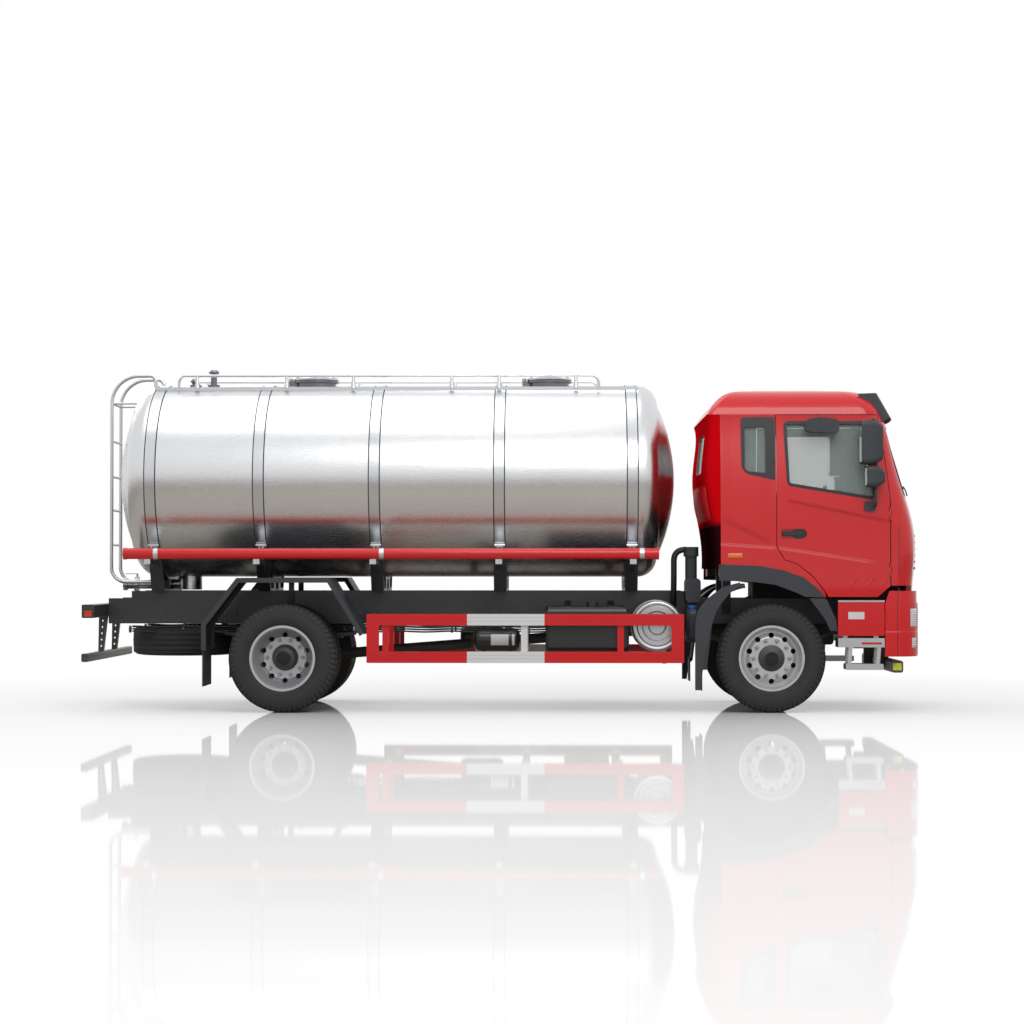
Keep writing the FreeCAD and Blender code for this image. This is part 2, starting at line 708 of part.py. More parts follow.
# Side guards: on each flank a frame of two grooved rails and end posts, on brackets that reach in to the rail.

sizes(guard_rear=-1264, guard_front=1651, guard_low=459, guard_high=909, guard_rail=105, guard_post=115,
      guard_wall=28, guard_inset=34, groove=9, groove_depth=4, stay_width=60, stay_low=480, stay_high=520,
      stay_drop=60)
GUARD_STAYS = (-1120, 155, 1040)


def side_guard():
    outer = -side + d.guard_inset
    inner = outer + d.guard_wall
    frame = new_body()
    pad(frame, "XZ", slab(d.guard_rear, d.guard_front, d.guard_low, d.guard_high, 12), outer, inner)
    pocket(frame, "XZ", slab(d.guard_rear + d.guard_post, d.guard_front - d.guard_post,
                             d.guard_low + d.guard_rail, d.guard_high - d.guard_rail, 6), outer, inner)
    for low in (d.guard_low, d.guard_high - d.guard_rail):
        for share in (0.3, 0.62):
            start = low + d.guard_rail * share
            pocket(frame, "XZ", slab(d.guard_rear + 8, d.guard_front - 8, start, start + d.groove), outer,
                   outer + d.groove_depth)
    stays = []
    for x in GUARD_STAYS:
        stays.append(box(x, x + d.stay_width, inner, inner + 40, d.guard_low + 15, d.guard_high - 15))
        stays.append(box(x, x + d.stay_width, inner + 40, -d.rail_half_spread - d.stay_drop, d.stay_low, d.stay_high))
        stays.append(box(x, x + d.stay_width, -d.rail_half_spread - d.stay_drop, -d.rail_half_spread, d.stay_low,
                         d.rail_bottom + 70))
    return fuse(frame, *stays)


node("side_guards", both(side_guard()))


# Mudguards: folded sheet with a lip over the twin rear tyres, curved shells behind the front tyres, and flaps.

sizes(fender_inner=650, fender_outer=1245, fender_wall=8, fender_rear=-2783, fender_top=1240, fender_lip=44,
      fender_lip_wall=6, shell_outer=1190, shell_inner=860)


def rear_fender():
    back, top, wall = d.fender_rear, d.fender_top, d.fender_wall
    outer = [(back, 575), (back, 821), (-2460, top), (-1598, top), (-1286, 729)]
    inner = [(-1294, 725), (-1603, top - wall), (-2456, top - wall), (back + wall, 818), (back + wall, 575)]
    shell = prism("XZ", outer + inner, -d.fender_outer, -d.fender_inner)
    lip = d.fender_lip
    lip_inner = [(-1324, 706), (-1623, top - lip), (-2437, top - lip), (back + lip, 804), (back + lip, 575)]
    rims_ = [prism("XZ", outer + lip_inner, low, low + d.fender_lip_wall)
             for low in (-d.fender_outer, -d.fender_inner - d.fender_lip_wall)]
    flap = box(back + wall, back + wall + 12, -d.fender_outer + 20, -d.fender_inner - 40, 243, 620)
    stay_top = top - wall
    stay = box(-2060, -2010, -d.fender_inner, -d.rail_half_spread, stay_top - 40, stay_top)
    rib = box(-2060, -2010, -d.fender_outer + 40, -d.fender_inner, stay_top - 24, stay_top)
    drop = box(-2060, -2010, -d.rail_half_spread - 30, -d.rail_half_spread, d.rail_bottom + 60, stay_top - 40)
    return fuse(shell, flap, stay, rib, drop, *rims_)


def front_mudguard():
    outer = [(2208, 1188, None, 520), (1898, 1018), (1819, 397)]
    inner = [(1829, 397), (1908, 1014, None, -510), (2210, 1178)]
    shell = prism("XZ", outer + inner, -d.shell_outer, -d.shell_inner)
    lip_inner = [(1859, 397), (1932, 1002, None, -480), (2216, 1148)]
    lip = prism("XZ", outer + lip_inner, -d.shell_outer, -d.shell_outer + 6)
    flap = box(1808, 1820, -d.shell_outer + 20, -d.shell_inner - 20, 205, 440)
    stay = box(1890, 1930, -d.shell_inner - 20, -d.rail_half_spread, 900, 940)
    return fuse(shell, lip, flap, stay)


TRIM_TAIL = [(2940, 1052), (2800, 1052), (2899, 921), (2945, 855), (2990, 754), (3057, 754), (3041, 855),
             (2963, 1033)]
trim_tail = prism("XZ", TRIM_TAIL, -1216, -1192)
node("mudguards", group(both(rear_fender()), both(front_mudguard()), both(trim_tail)))


# Boxes, tanks and the exhaust on the frame, each on brackets bolted to the rail's web.

sizes(fuel_rear=380, fuel_front=1150, fuel_low=550, fuel_high=980, fuel_outer=1130, fuel_inner=520, fuel_corner=60,
      dome_depth=26, dome_inset=20, fuel_strap=60, strap_lift=4)


def domed_box(x0, x1, y0, y1, z0, z1, corner):
    """A tank of pressed sheet: a rounded section whose ends draw in."""
    x0, x1 = as_size(x0), as_size(x1)
    inset = d.dome_inset
    full = slab(y0, y1, z0, z1, corner)
    drawn = slab(as_size(y0) + inset, as_size(y1) - inset, as_size(z0) + inset, as_size(z1) - inset,
                 as_size(corner) - inset / 2)
    skin = doc.addObject("Part::Loft", "Loft")
    skin.Sections = [sketch_at("YZ", x0, drawn), sketch_at("YZ", x0 + d.dome_depth, full),
                     sketch_at("YZ", x1 - d.dome_depth, full), sketch_at("YZ", x1, drawn)]
    skin.Solid = True
    skin.Ruled = True
    return skin


fuel = domed_box(d.fuel_rear, d.fuel_front, -d.fuel_outer, -d.fuel_inner, d.fuel_low, d.fuel_high, d.fuel_corner)
fuel_pieces = []
for x in (560, 963):
    lift_ = d.strap_lift
    fuel_pieces.append(prism("YZ", slab(-d.fuel_outer - lift_, -d.fuel_inner + lift_, d.fuel_low - lift_,
                                        d.fuel_high + lift_, 64), x, x + d.fuel_strap))
    fuel_pieces.append(prism("YZ", [(-d.fuel_inner, d.rail_bottom - 180), (-d.fuel_inner + 10, d.rail_bottom - 180),
                                    (-d.rail_half_spread, d.rail_bottom + 10), (-d.rail_half_spread, d.rail_top - 20),
                                    (-d.fuel_inner, d.rail_top - 90)], x, x + d.fuel_strap))
fuel_cap = [rod("Z", 813, -1010, d.fuel_high - 10, 46, 30), rod("Z", 813, -1010, d.fuel_high + 20, 56, 22)]
node("fuel_tank", fuse(fuel, *fuel_pieces, *fuel_cap))

sizes(canister_x=1410, canister_z=795, canister_radius=235, canister_outer=1090, canister_inner=530)
canister = new_body()
face = -d.canister_outer
revolve(canister, "YZ", [(face, 0), (face, 70), (face + 14, 84), (face + 14, 128), (face, 142), (face, 178),
                         (face + 10, 190), (face, d.canister_radius, 24), (-d.canister_inner, d.canister_radius, 24),
                         (-d.canister_inner, 0)])
seat(canister, d.canister_x, 0, d.canister_z)
canister_straps = [rod("Y", d.canister_x, y, d.canister_z, d.canister_radius + d.strap_lift, 34) for y in (-960, -690)]
canister_foot = box(d.canister_x - 60, d.canister_x + 60, -d.canister_inner - 5, -d.rail_half_spread,
                    d.rail_bottom + 20, d.rail_top - 60)
tail_pipe = pipe("YZ", d.canister_x + 90, [(-620, d.canister_z - 160), (-620, 470, 90), (-400, 470)], 42)
node("exhaust_canister", fuse(canister, *canister_straps, canister_foot, tail_pipe))

urea = domed_box(1690, 1800, -1000, -560, 640, 950, 50)
node("urea_tank", fuse(urea, rod("Z", 1745, -900, 945, 34, 20), rod("Z", 1745, -900, 962, 42, 24),
                       box(1720, 1770, -565, -d.rail_half_spread, 830, 900)))

sizes(reservoir_rear=-292, reservoir_front=139, reservoir_radius=108, reservoir_z=662, reservoir_y=720)
reservoir = new_body()
revolve(reservoir, "XZ", [(d.reservoir_rear, 0), (d.reservoir_rear, d.reservoir_radius, 60),
                          (d.reservoir_front, d.reservoir_radius, 60), (d.reservoir_front, 0)])
seat(reservoir, 0, -d.reservoir_y, d.reservoir_z)
hoops = [rod("X", x, -d.reservoir_y, d.reservoir_z, d.reservoir_radius + d.strap_lift, 30) for x in (-215, 35)]
reservoir_arms = [prism("YZ", [(-d.reservoir_y - 40, d.reservoir_z + 90), (-d.reservoir_y + 60, d.reservoir_z + 60),
                               (-d.rail_half_spread, d.rail_bottom + 5), (-d.rail_half_spread, d.rail_bottom + 80)],
                        x, x + 30) for x in (-215, 35)]
air_tank = fuse(reservoir, *hoops, *reservoir_arms)
node("air_tanks", group(air_tank, shifted(mirrored(air_tank), -180, 0, 0)))

battery_case = prism("XY", slab(560, 1000, 560, 1120, 25), 560, 925)
battery_lid = prism("XY", slab(548, 1012, 548, 1132, 30), 925, 965)
battery_ribs = [box(x, x + 20, 1120, 1128, 600, 890) for x in (640, 770, 900)]
node("battery_box", fuse(battery_case, battery_lid, *battery_ribs, box(700, 860, d.rail_half_spread, 570, 830, 900)))

filter_case = prism("XZ", slab(1690, 1830, 1010, 1235, 40), -780, -445)
stack = prism("XY", slab(1695, 1800, -700, -520, 35), 1200, 1440)
stack_cap = prism("XY", slab(1680, 1815, -720, -500, 45), 1440, 1530)
filter_foot = box(1700, 1760, -520, -d.rail_half_spread, 940, 1040)
node("intake_stack", fuse(filter_case, stack, stack_cap, filter_foot))


# Wheels. The left ones are drawn and the right ones mirrored. Each disc is pressed, with ten hand holes, and the
# hub in it is bored for the axle's spindle and closed outside by its cap.

sizes(front_wheel_y=1020, rear_outer_y=1095, rear_inner_y=765, rim_half=112, disc_wall=12, spindle_bore=35.05,
      spindle=35, hand_hole=25, hand_circle=212, nut_circle=168, hub_radius=118, cap_radius=62)


def tyre(centre):
    half = d.tyre_width / 2
    bead, tread = d.bead_radius, d.tyre_radius
    low, high = centre - half, centre + half
    return [(low + 32, bead + 18), (low, bead + 90, None, -260), (low + 10, tread - 34), (low + 30, tread - 5),
            (centre, tread), (high - 30, tread - 5), (high - 10, tread - 34, None, -260), (high, bead + 90),
            (high - 32, bead + 18)]


def rim_ring(centre):
    """The rolled rim: flanges for the tyre's beads and a well between them."""
    low, high, bead = centre - d.rim_half, centre + d.rim_half, d.bead_radius
    return [(low, bead + 17), (low + 8, bead + 17), (low + 20, bead), (low + 62, bead - 8), (high - 62, bead - 8),
            (high - 20, bead), (high - 8, bead + 17), (high, bead + 17), (high, bead - 4), (high - 8, bead - 10),
            (high - 60, bead - 20), (low + 60, bead - 20), (low + 8, bead - 10), (low, bead - 4)]


def wheel_disc(seat_at, mount, turn):
    """The pressed disc: from the rim's well, in or out to the flat that the nuts clamp."""
    wall, bead = d.disc_wall, d.bead_radius
    mount, seat_at = as_size(mount), as_size(seat_at)
    spread = wall if turn < 0 else as_size(0)
    return [(seat_at, bead - 19), (mount - turn * 34, 232, 18), (mount, 196, 20), (mount, 100),
            (mount - wall, 100), (mount - wall, 190 + spread, 16),
            (mount - turn * 34 - wall, 224 + spread * 1.6, 16), (seat_at - wall * 1.6, bead - 19)]


def hub(inner, mount, tip, spindle_end):
    """The hub and drum: bored for the spindle, flanged behind the disc, and capped."""
    inner, mount, tip = as_size(inner), as_size(mount), as_size(tip)
    back = mount - d.disc_wall
    return [(as_size(spindle_end), 0), (tip, 0), (tip, d.cap_radius, 10), (tip - 34, d.cap_radius),
            (tip - 46, d.hub_radius - 20), (mount + 4, d.hub_radius), (back, d.hub_radius), (back, 184, 8),
            (inner, 184, 8), (inner, d.spindle_bore), (as_size(spindle_end), d.spindle_bore)]


def turned(profile, x):
    return seat(revolve(new_body(), "YZ", profile), x, 0, axle_height)


def pierced(profile, x, low, high):
    disc = revolve(new_body(), "YZ", profile)
    ring_of_holes(disc, "XZ", 0, d.hand_circle, d.hand_hole, low, high, 10, "Y_Axis")
    return seat(disc, x, 0, axle_height)


front_disc = pierced(wheel_disc(1050, 1092, 1), front_axle, 1010, 1130)
front_wheel = fuse(turned(rim_ring(d.front_wheel_y), front_axle), front_disc,
                   turned(hub(1012, 1092, 1150, 1111), front_axle))
rear_disc = pierced(wheel_disc(1066, 944, -1), rear_axle, 900, 1060)
inner_disc = pierced(wheel_disc(815, 932, 1), rear_axle, 870, 960)
rear_wheel = fuse(turned(rim_ring(d.rear_outer_y), rear_axle), rear_disc, turned(rim_ring(d.rear_inner_y), rear_axle),
                  inner_disc, turned(hub(700, 944, 1100, 1066), rear_axle))
front_tyre = turned(tyre(d.front_wheel_y), front_axle)
rear_tyre = group(turned(tyre(d.rear_outer_y), rear_axle), turned(tyre(d.rear_inner_y), rear_axle))
for label, piece in (("tyre_front", front_tyre), ("rim_front", front_wheel), ("tyre_rear", rear_tyre),
                     ("rim_rear", rear_wheel)):
    node(label + "_left", piece)
    node(label + "_right", mirrored(piece))

# The spare lies flat under the rails' tail, drawn up to a cross-member by its carrier.
sizes(spare_x=-3110, spare_low=498)
flat_centre = d.spare_low + d.tyre_width / 2


def laid(profile):
    return seat(revolve(new_body(), "YZ", profile), d.spare_x, 0, flat_centre, Rotation(Vector(1, 0, 0), 90))


spare_disc = laid(wheel_disc(-30, -60, -1))
plate_low = flat_centre - 60 - d.disc_wall - 16
carrier = fuse(rod("Z", d.spare_x, 0, plate_low, 130, 16),
               rod("Z", d.spare_x, 0, plate_low, 20, d.rail_top - d.rail_wall * 2 - plate_low))
node("spare_wheel", fuse(laid(tyre(as_size(0))), laid(rim_ring(as_size(0))), spare_disc, carrier))

# Rear under-run guard, tail beam and the discharge pipe with its butterfly valve.

sizes(under_bar_rear=-3894, under_bar_front=-3830, under_bar_low=465, under_bar_high=542, under_bar_half=1200,
      tail_beam_rear=-3896, tail_beam_front=-3780, tail_beam_low=870, tail_beam_high=994, tail_beam_half=1180)
rear_bar = prism("XZ", slab(d.under_bar_rear, d.under_bar_front, d.under_bar_low, d.under_bar_high, 14),
                 -d.under_bar_half, d.under_bar_half)
tail_beam = prism("XZ", slab(d.tail_beam_rear, d.tail_beam_front, d.tail_beam_low, d.tail_beam_high, 12),
                  -d.tail_beam_half, d.tail_beam_half)
leg_plate = prism("XZ", [(-3886, d.under_bar_high - 10), (-3838, d.under_bar_high - 10),
                         (-3800, d.tail_beam_low + 2), (-3880, d.tail_beam_low + 2)], -390, -330)
leg_holes = [rod("Y", -3862 + (height - 590) * 0.06, -400, height, 11, 90) for height in (590, 650, 710, 770, 830)]
under_leg = cut(leg_plate, *leg_holes)
node("rear_underrun", fuse(rear_bar, tail_beam, under_leg, mirrored(under_leg)))

sizes(sump_x=-3060, sump_radius=110, sump_low=1125, outlet_z=1178, outlet_radius=46, outlet_bore=40,
      outlet_end=-3710, outlet_depth=300, valve_radius=75)
sump = clear_of_tank(rod("Z", d.sump_x, 0, d.sump_low, d.sump_radius, 160), -3200, -2900)
outlet = rod("X", d.outlet_end, 0, d.outlet_z, d.outlet_radius, d.sump_x - d.outlet_end)
valve_body = rod("X", -3600, 0, d.outlet_z, d.valve_radius, 40)
coupling = rod("X", d.outlet_end, 0, d.outlet_z, d.outlet_radius + 14, 40)
valve_stem = rod("Z", -3580, 0, d.outlet_z + d.valve_radius - 5, 10, 30)
valve_handle = box(-3694, -3570, -12, 12, d.outlet_z + d.valve_radius + 20, d.outlet_z + d.valve_radius + 30)
node("outlet_pipe", cut(fuse(sump, outlet, valve_body, coupling, valve_stem, valve_handle),
                        rod("X", d.outlet_end - 1, 0, d.outlet_z, d.outlet_bore, d.outlet_depth + 1)))


# Axles, leaf springs, engine and drive line.

sizes(kingpin_y=850, axle_beam=90, axle_web=24, spring_width=80, front_seat=555, rear_seat=600, leaf_wall=16,
      eye_radius=26, bolt_radius=9)
beam = new_body()
pad(beam, "YZ", [(-830, 445), (-640, 445), (-540, 380), (540, 380), (640, 445), (830, 445), (830, 555),
                 (600, 555), (520, 500), (-520, 500), (-600, 555), (-830, 555)],
    front_axle - d.axle_beam / 2, front_axle + d.axle_beam / 2)
pocket(beam, "YZ", slab(-510, 510, 402, 478, 12), front_axle + d.axle_web / 2, front_axle + d.axle_beam / 2)
pocket(beam, "YZ", slab(-510, 510, 402, 478, 12), front_axle - d.axle_beam / 2, front_axle - d.axle_web / 2)
bosses = [rod("Z", front_axle, y, 440, 55, 120) for y in (-d.kingpin_y, d.kingpin_y)]
pins = [rod("Z", front_axle, y, 380, 18, 240) for y in (-d.kingpin_y, d.kingpin_y)]
front_pad = box(front_axle - 60, front_axle + 60, -d.rail_half_spread, -d.rail_half_spread + d.spring_width, 495,
                d.front_seat)
node("front_axle", fuse(beam, front_pad, mirrored(front_pad), *bosses, *pins))


def leaf(x, centre, radius, half, y):
    """One leaf: a strip bent to an arc about a point above it."""
    rise = root(radius * radius - half * half)
    inner = radius - d.leaf_wall
    share = inner / radius
    outline = [(x - half, centre - rise, None, radius), (x + half, centre - rise),
               (x + half * share, centre - rise * share, None, -inner), (x - half * share, centre - rise * share)]
    return prism("XZ", outline, y, as_size(y) + d.spring_width)


def leaf_spring(x, seat_height, half_length, count, sag, y, bolt_reach, hanger_top):
    """A stack of leaves that shorten downwards, clamped by U-bolts and hung from the rail by its eyes."""
    half_length, sag, y = as_size(half_length), as_size(sag), as_size(y)
    stack_top = seat_height + d.leaf_wall * count
    radius = (half_length * half_length + sag * sag) / (sag * 2)
    centre = seat_height + d.leaf_wall * (count - 1) + radius
    pieces = [leaf(x, centre, radius + d.leaf_wall * step, half_length * (1 - 0.17 * step), y)
              for step in range(count)]
    eye = stack_top + sag - d.leaf_wall / 2
    for end in (x - half_length, x + half_length):
        pieces.append(rod("Y", end, y, eye, d.eye_radius, d.spring_width))
        pieces.append(box(end - 30, end + 30, y, y + d.spring_width, eye, hanger_top))
    pieces.append(box(x - 80, x + 80, y, y + d.spring_width, stack_top - 4, stack_top + 14))
    pieces.append(box(x - bolt_reach - 15, x + bolt_reach + 15, y - 19, y + d.spring_width + 19, stack_top + 14,
                      stack_top + 28))
    for across in (y - 10, y + d.spring_width + 10):
        for along in (x - bolt_reach, x + bolt_reach):
            pieces.append(rod("Z", along, across, seat_height - 70, d.bolt_radius, d.leaf_wall * count + 100))
    return fuse(*pieces)


front_spring = leaf_spring(front_axle, d.front_seat, 700, 5, 110, -d.rail_half_spread, 56, d.rail_bottom)
rear_spring = leaf_spring(rear_axle, d.rear_seat, 750, 6, 52, -d.rail_half_spread - d.spring_width, 86,
                          d.rail_bottom + 95)
node("leaf_springs", group(both(front_spring), both(rear_spring)))

sizes(rear_track=1060, spindle_shoulder=640, tube_radius=75, carrier_radius=165, flange_x=-1750, gearbox_x=1700,
      gearbox_z=760, shaft_radius=50)
housing = revolve(new_body(), "YZ", [(-d.rear_track, 0), (-d.rear_track, d.spindle), (-d.spindle_shoulder, d.spindle),
                                     (-d.spindle_shoulder, d.tube_radius), (-330, d.tube_radius + 5),
                                     (-180, d.carrier_radius, 60), (130, d.carrier_radius, 60),
                                     (280, d.tube_radius + 5), (d.spindle_shoulder, d.tube_radius),
                                     (d.spindle_shoulder, d.spindle), (d.rear_track, d.spindle), (d.rear_track, 0)])
seat(housing, rear_axle, 0, axle_height)
nose = cone("X", rear_axle + 90, 0, axle_height, 120, 62, d.flange_x - 30 - rear_axle - 90)
nose_flange = rod("X", d.flange_x - 30, 0, axle_height, 72, 30)
rear_pad = box(rear_axle - 60, rear_axle + 60, -d.rail_half_spread - d.spring_width, -d.rail_half_spread,
               axle_height, d.rear_seat)
node("rear_axle", fuse(housing, nose, nose_flange, rear_pad, mirrored(rear_pad)))

block = prism("YZ", [(-300, 900, 30), (-220, 700, 30), (220, 700, 30), (300, 900, 30), (260, 1400, 40),
                     (-260, 1400, 40)], 2350, 3250)
oil_pan = prism("XZ", [(2450, 700), (2450, 640, 20), (2700, 600, 20), (3130, 600, 30), (3130, 700)], -190, 190)
bell = cone("X", 2130, 0, 800, 190, 270, 225)
gearbox = prism("XZ", slab(1830, 2140, 640, 960, 40), -170, 170)
tail_housing = rod("X", d.gearbox_x, 0, d.gearbox_z, 95, 135)
mount = box(2500, 2600, -d.rail_half_spread + d.rail_wall, d.rail_half_spread - d.rail_wall, 850, 930)
radiator = box(3300, 3380, -340, 340, 700, 1290)
shroud = box(3245, 3302, -290, 290, 740, 1250)
node("engine_block", fuse(block, oil_pan, bell, gearbox, tail_housing, mount, radiator, shroud))

shaft_rear, shaft_front = d.flange_x + 55, d.gearbox_x - 50
drive = doc.addObject("Part::Cylinder", "Drive")
run = Vector((shaft_front - shaft_rear).value, 0, (d.gearbox_z - axle_height).value)
reach = shaft_front - shaft_rear
climb = d.gearbox_z - axle_height
bind(drive, "Radius", d.shaft_radius)
bind(drive, "Height", root(reach * reach + climb * climb))
seat(drive, shaft_rear, 0, axle_height, Rotation(Vector(0, 0, 1), run))
yokes = [rod("X", d.flange_x, 0, axle_height, 60, 65), rod("X", d.gearbox_x - 60, 0, d.gearbox_z, 60, 60)]
bearing = box(-350, -280, -75, 75, 560, d.rail_top - d.rail_wall - d.cross_depth)
node("propeller_shaft", fuse(drive, *yokes, bearing))

sizes(knuckle_wall=23, lug_depth=45, pin_radius=18, arm_back=170, tie_y=850, tie_z=370, tie_radius=16, tie_eye=26,
      tie_pin=12)


def knuckle_left():
    """The forked steering knuckle: its spindle, a dust plate and the arm with the tie rod's pin."""
    y = d.kingpin_y
    lugs = [box(front_axle - 50, front_axle + 50, y - 45, y + 62, z, z + d.lug_depth) for z in (390, 567)]
    back = box(front_axle - 70, front_axle + 70, y + 62, y + 85, 390, 612)
    plate = rod("Y", front_axle, y + 75, axle_height, 150, 10)
    spindle = rod("Y", front_axle, y + 85, axle_height, d.spindle, 170)
    arm = box(front_axle - d.arm_back - 22, front_axle - 50, y - 22, y + 22, 395, 425)
    pin = rod("Z", front_axle - d.arm_back, d.tie_y, 345, d.tie_pin, 80)
    bore = rod("Z", front_axle, y, 300, d.pin_radius + d.pin_play, 400)
    return cut(fuse(lugs[0], lugs[1], back, plate, spindle, arm, pin), bore)


left_knuckle = knuckle_left()
node("knuckle_left", left_knuckle)
node("knuckle_right", mirrored(left_knuckle))
tie_bar = rod("Y", front_axle - d.arm_back, -d.tie_y, d.tie_z, d.tie_radius, d.tie_y * 2)
tie_eyes = [rod("Z", front_axle - d.arm_back, y, d.tie_z - 21, d.tie_eye, 42) for y in (-d.tie_y, d.tie_y)]
tie_bores = [rod("Z", front_axle - d.arm_back, y, 300, d.tie_pin + d.pin_play, 150) for y in (-d.tie_y, d.tie_y)]
node("tie_rod", cut(fuse(tie_bar, *tie_eyes), *tie_bores))


# The cab: one outer form and one inner form, lofted through level sections, and cut where its panels meet.

sizes(front_bulge=5000, front_corner=180, rear_corner=60, cab_wall=50, cab_front_wall=45, cab_low=1062,
      back_low=1325, roof_seam=2748, panel_gap=6, panel_low=1030, corner_low=1170)


def bulged_plan(back, front, half, bulge, corner, rear):
    """A level outline: flat back and sides, round corners and a bulged front that meets them smoothly."""
    back, front, half = as_size(back), as_size(front), as_size(half)
    origin = front - bulge
    centre = origin + root((bulge - corner) * (bulge - corner) - (half - corner) * (half - corner))
    grow = bulge / (bulge - corner)
    meet_x = origin + (centre - origin) * grow
    meet_y = (half - corner) * grow
    return [(back, -half + rear, None, rear), (back + rear, -half), (centre, -half, None, corner),
            (meet_x, -meet_y, None, bulge), (meet_x, meet_y, None, corner), (centre, half),
            (back + rear, half, None, rear), (back, half - rear)]


def plan_section(height, back, front, half, inset, front_inset):
    """A level section through the cab, set in from its outer form by the wall."""
    return sketch_at("XY", height, bulged_plan(as_size(back) + inset, as_size(front) - front_inset,
                                               as_size(half) - inset, d.front_bulge - front_inset,
                                               d.front_corner - inset, d.rear_corner - inset * 0.8))


def loft(sections):
    skin = doc.addObject("Part::Loft", "Loft")
    skin.Sections = sections
    skin.Solid = True
    skin.Ruled = False
    return skin


CAB_LEVELS = ((1030, 1950, 3866, 1200), (1400, 1950, 3884, 1200), (1700, 1925, 3874, 1200),
              (1975, 1875, 3806, 1200), (2330, 1860, 3702, 1168), (2748, 1868, 3577, 1115))
ROOF_LEVELS = ((2748, 1868, 3577, 1115), (2850, 1935, 3525, 1078), (2930, 2020, 3440, 1000),
               (2975, 2130, 3330, 880), (2992, 2300, 3120, 720))


def cab_form(levels, roof_levels, inset, front_inset, drop):
    lower = loft([plan_section(level[0], level[1], level[2], level[3], inset, front_inset) for level in levels])
    upper = loft([plan_section(as_size(level[0]) - drop * index / (len(roof_levels) - 1), level[1], level[2],
                               level[3], inset, front_inset) for index, level in enumerate(roof_levels)])
    return lower, upper


outer_lower, outer_upper = cab_form(CAB_LEVELS, ROOF_LEVELS, as_size(0), as_size(0), as_size(0))
inner_lower, inner_upper = cab_form(CAB_LEVELS, ROOF_LEVELS, d.cab_wall, d.cab_front_wall, as_size(50))
wall = cut(outer_lower, inner_lower)
node("cab_roof", cut(outer_upper, inner_upper))

FAR = 2000
REAR_WINDOW = slab(-420, 420, 2230, 2600, 60)
rear_zone = box(1500, 1990, -FAR, FAR, d.back_low, d.roof_seam)
node("cab_back_wall", cut(common(wall, rear_zone), prism("YZ", REAR_WINDOW, 1500, 2000)))

DOOR = [(2505, 1539), (2523, 1498), (2579, 1407), (2692, 1371), (2833, 1259), (2945, 1119), (2973, 1066),
        (3425, 1066, 20), (3541, 1165), (3541, 1910), (3520, 2133), (3455, 2667), (3437, 2742),
        (2505, 2742)]
DOOR_GAP = [(2499, 1536), (2518, 1495), (2575, 1402), (2689, 1365), (2828, 1254), (2939, 1115), (2970, 1000),
            (3550, 1000), (3550, 1911), (3526, 2134), (3461, 2669), (3441, 2760), (2499, 2760)]
WINDOW = [(2594, 2664, 30), (2618, 2106, 30), (3394, 1978, 30), (3300, 2664, 30)]
QUARTER = [(2213, 2630, 20), (2405, 2630, 20), (2405, 2205, 20), (2213, 2221, 60)]
ARCH = [(1980, 1000), (2860, 1000), (2840, 1062), (2700, 1140), (2500, 1212), (2340, 1236), (1980, 1250)]
SKIN_OUT, SKIN_IN = -1300, -900


def through_side(points):
    """An outline carried through the right flank of the cab."""
    return prism("XZ", points, SKIN_OUT, SKIN_IN)


def crease(x0, z0, x1, z1):
    """A shallow pressed line along the flank."""
    return prism("XZ", [(x0, z0 - 6), (x1, z1 - 6), (x1, z1 + 6), (x0, z0 + 6)], SKIN_OUT, -side + 54)


door_gap = through_side(DOOR_GAP)
flank = cut(common(wall, box(1990, 3000, SKIN_OUT, SKIN_IN, d.cab_low, d.roof_seam)), door_gap,
            through_side(QUARTER), through_side(ARCH), crease(2010, 1756, 2430, 1560), crease(1985, 1551, 2499, 1517))
node("cab_side_right", flank)
node("cab_side_left", mirrored(flank))

# Each door turns on two pins in knuckles, sunk in the gap at its front edge.
sizes(hinge_x=3545, hinge_y=1203, knuckle_radius=9, knuckle_bore=5.05, hinge_pin=5, knuckle_high=60,
      knuckle_end=26)
HINGE_HEIGHTS = (1280, 1800)


def hinge_rods(heights, radius, lift_, length):
    return [rod("Z", d.hinge_x, -d.hinge_y, height + lift_, radius, length) for height in heights]


door_knuckles = hinge_rods(HINGE_HEIGHTS, d.knuckle_radius, 0, d.knuckle_high)
end_knuckles = hinge_rods(HINGE_HEIGHTS, d.knuckle_radius, -d.knuckle_end - 2, d.knuckle_end)
end_knuckles += hinge_rods(HINGE_HEIGHTS, d.knuckle_radius, d.knuckle_high + 2, d.knuckle_end)
hinge_pins = hinge_rods(HINGE_HEIGHTS, d.hinge_pin, -d.knuckle_end, d.knuckle_high + d.knuckle_end * 2)
door_relief = hinge_rods(HINGE_HEIGHTS, d.knuckle_radius + 6, -d.knuckle_end - 8, d.knuckle_end + 8)
door_relief += hinge_rods(HINGE_HEIGHTS, d.knuckle_radius + 6, d.knuckle_high, d.knuckle_end + 8)
frame_relief = hinge_rods(HINGE_HEIGHTS, d.knuckle_radius + 6, -2, d.knuckle_high + 4)

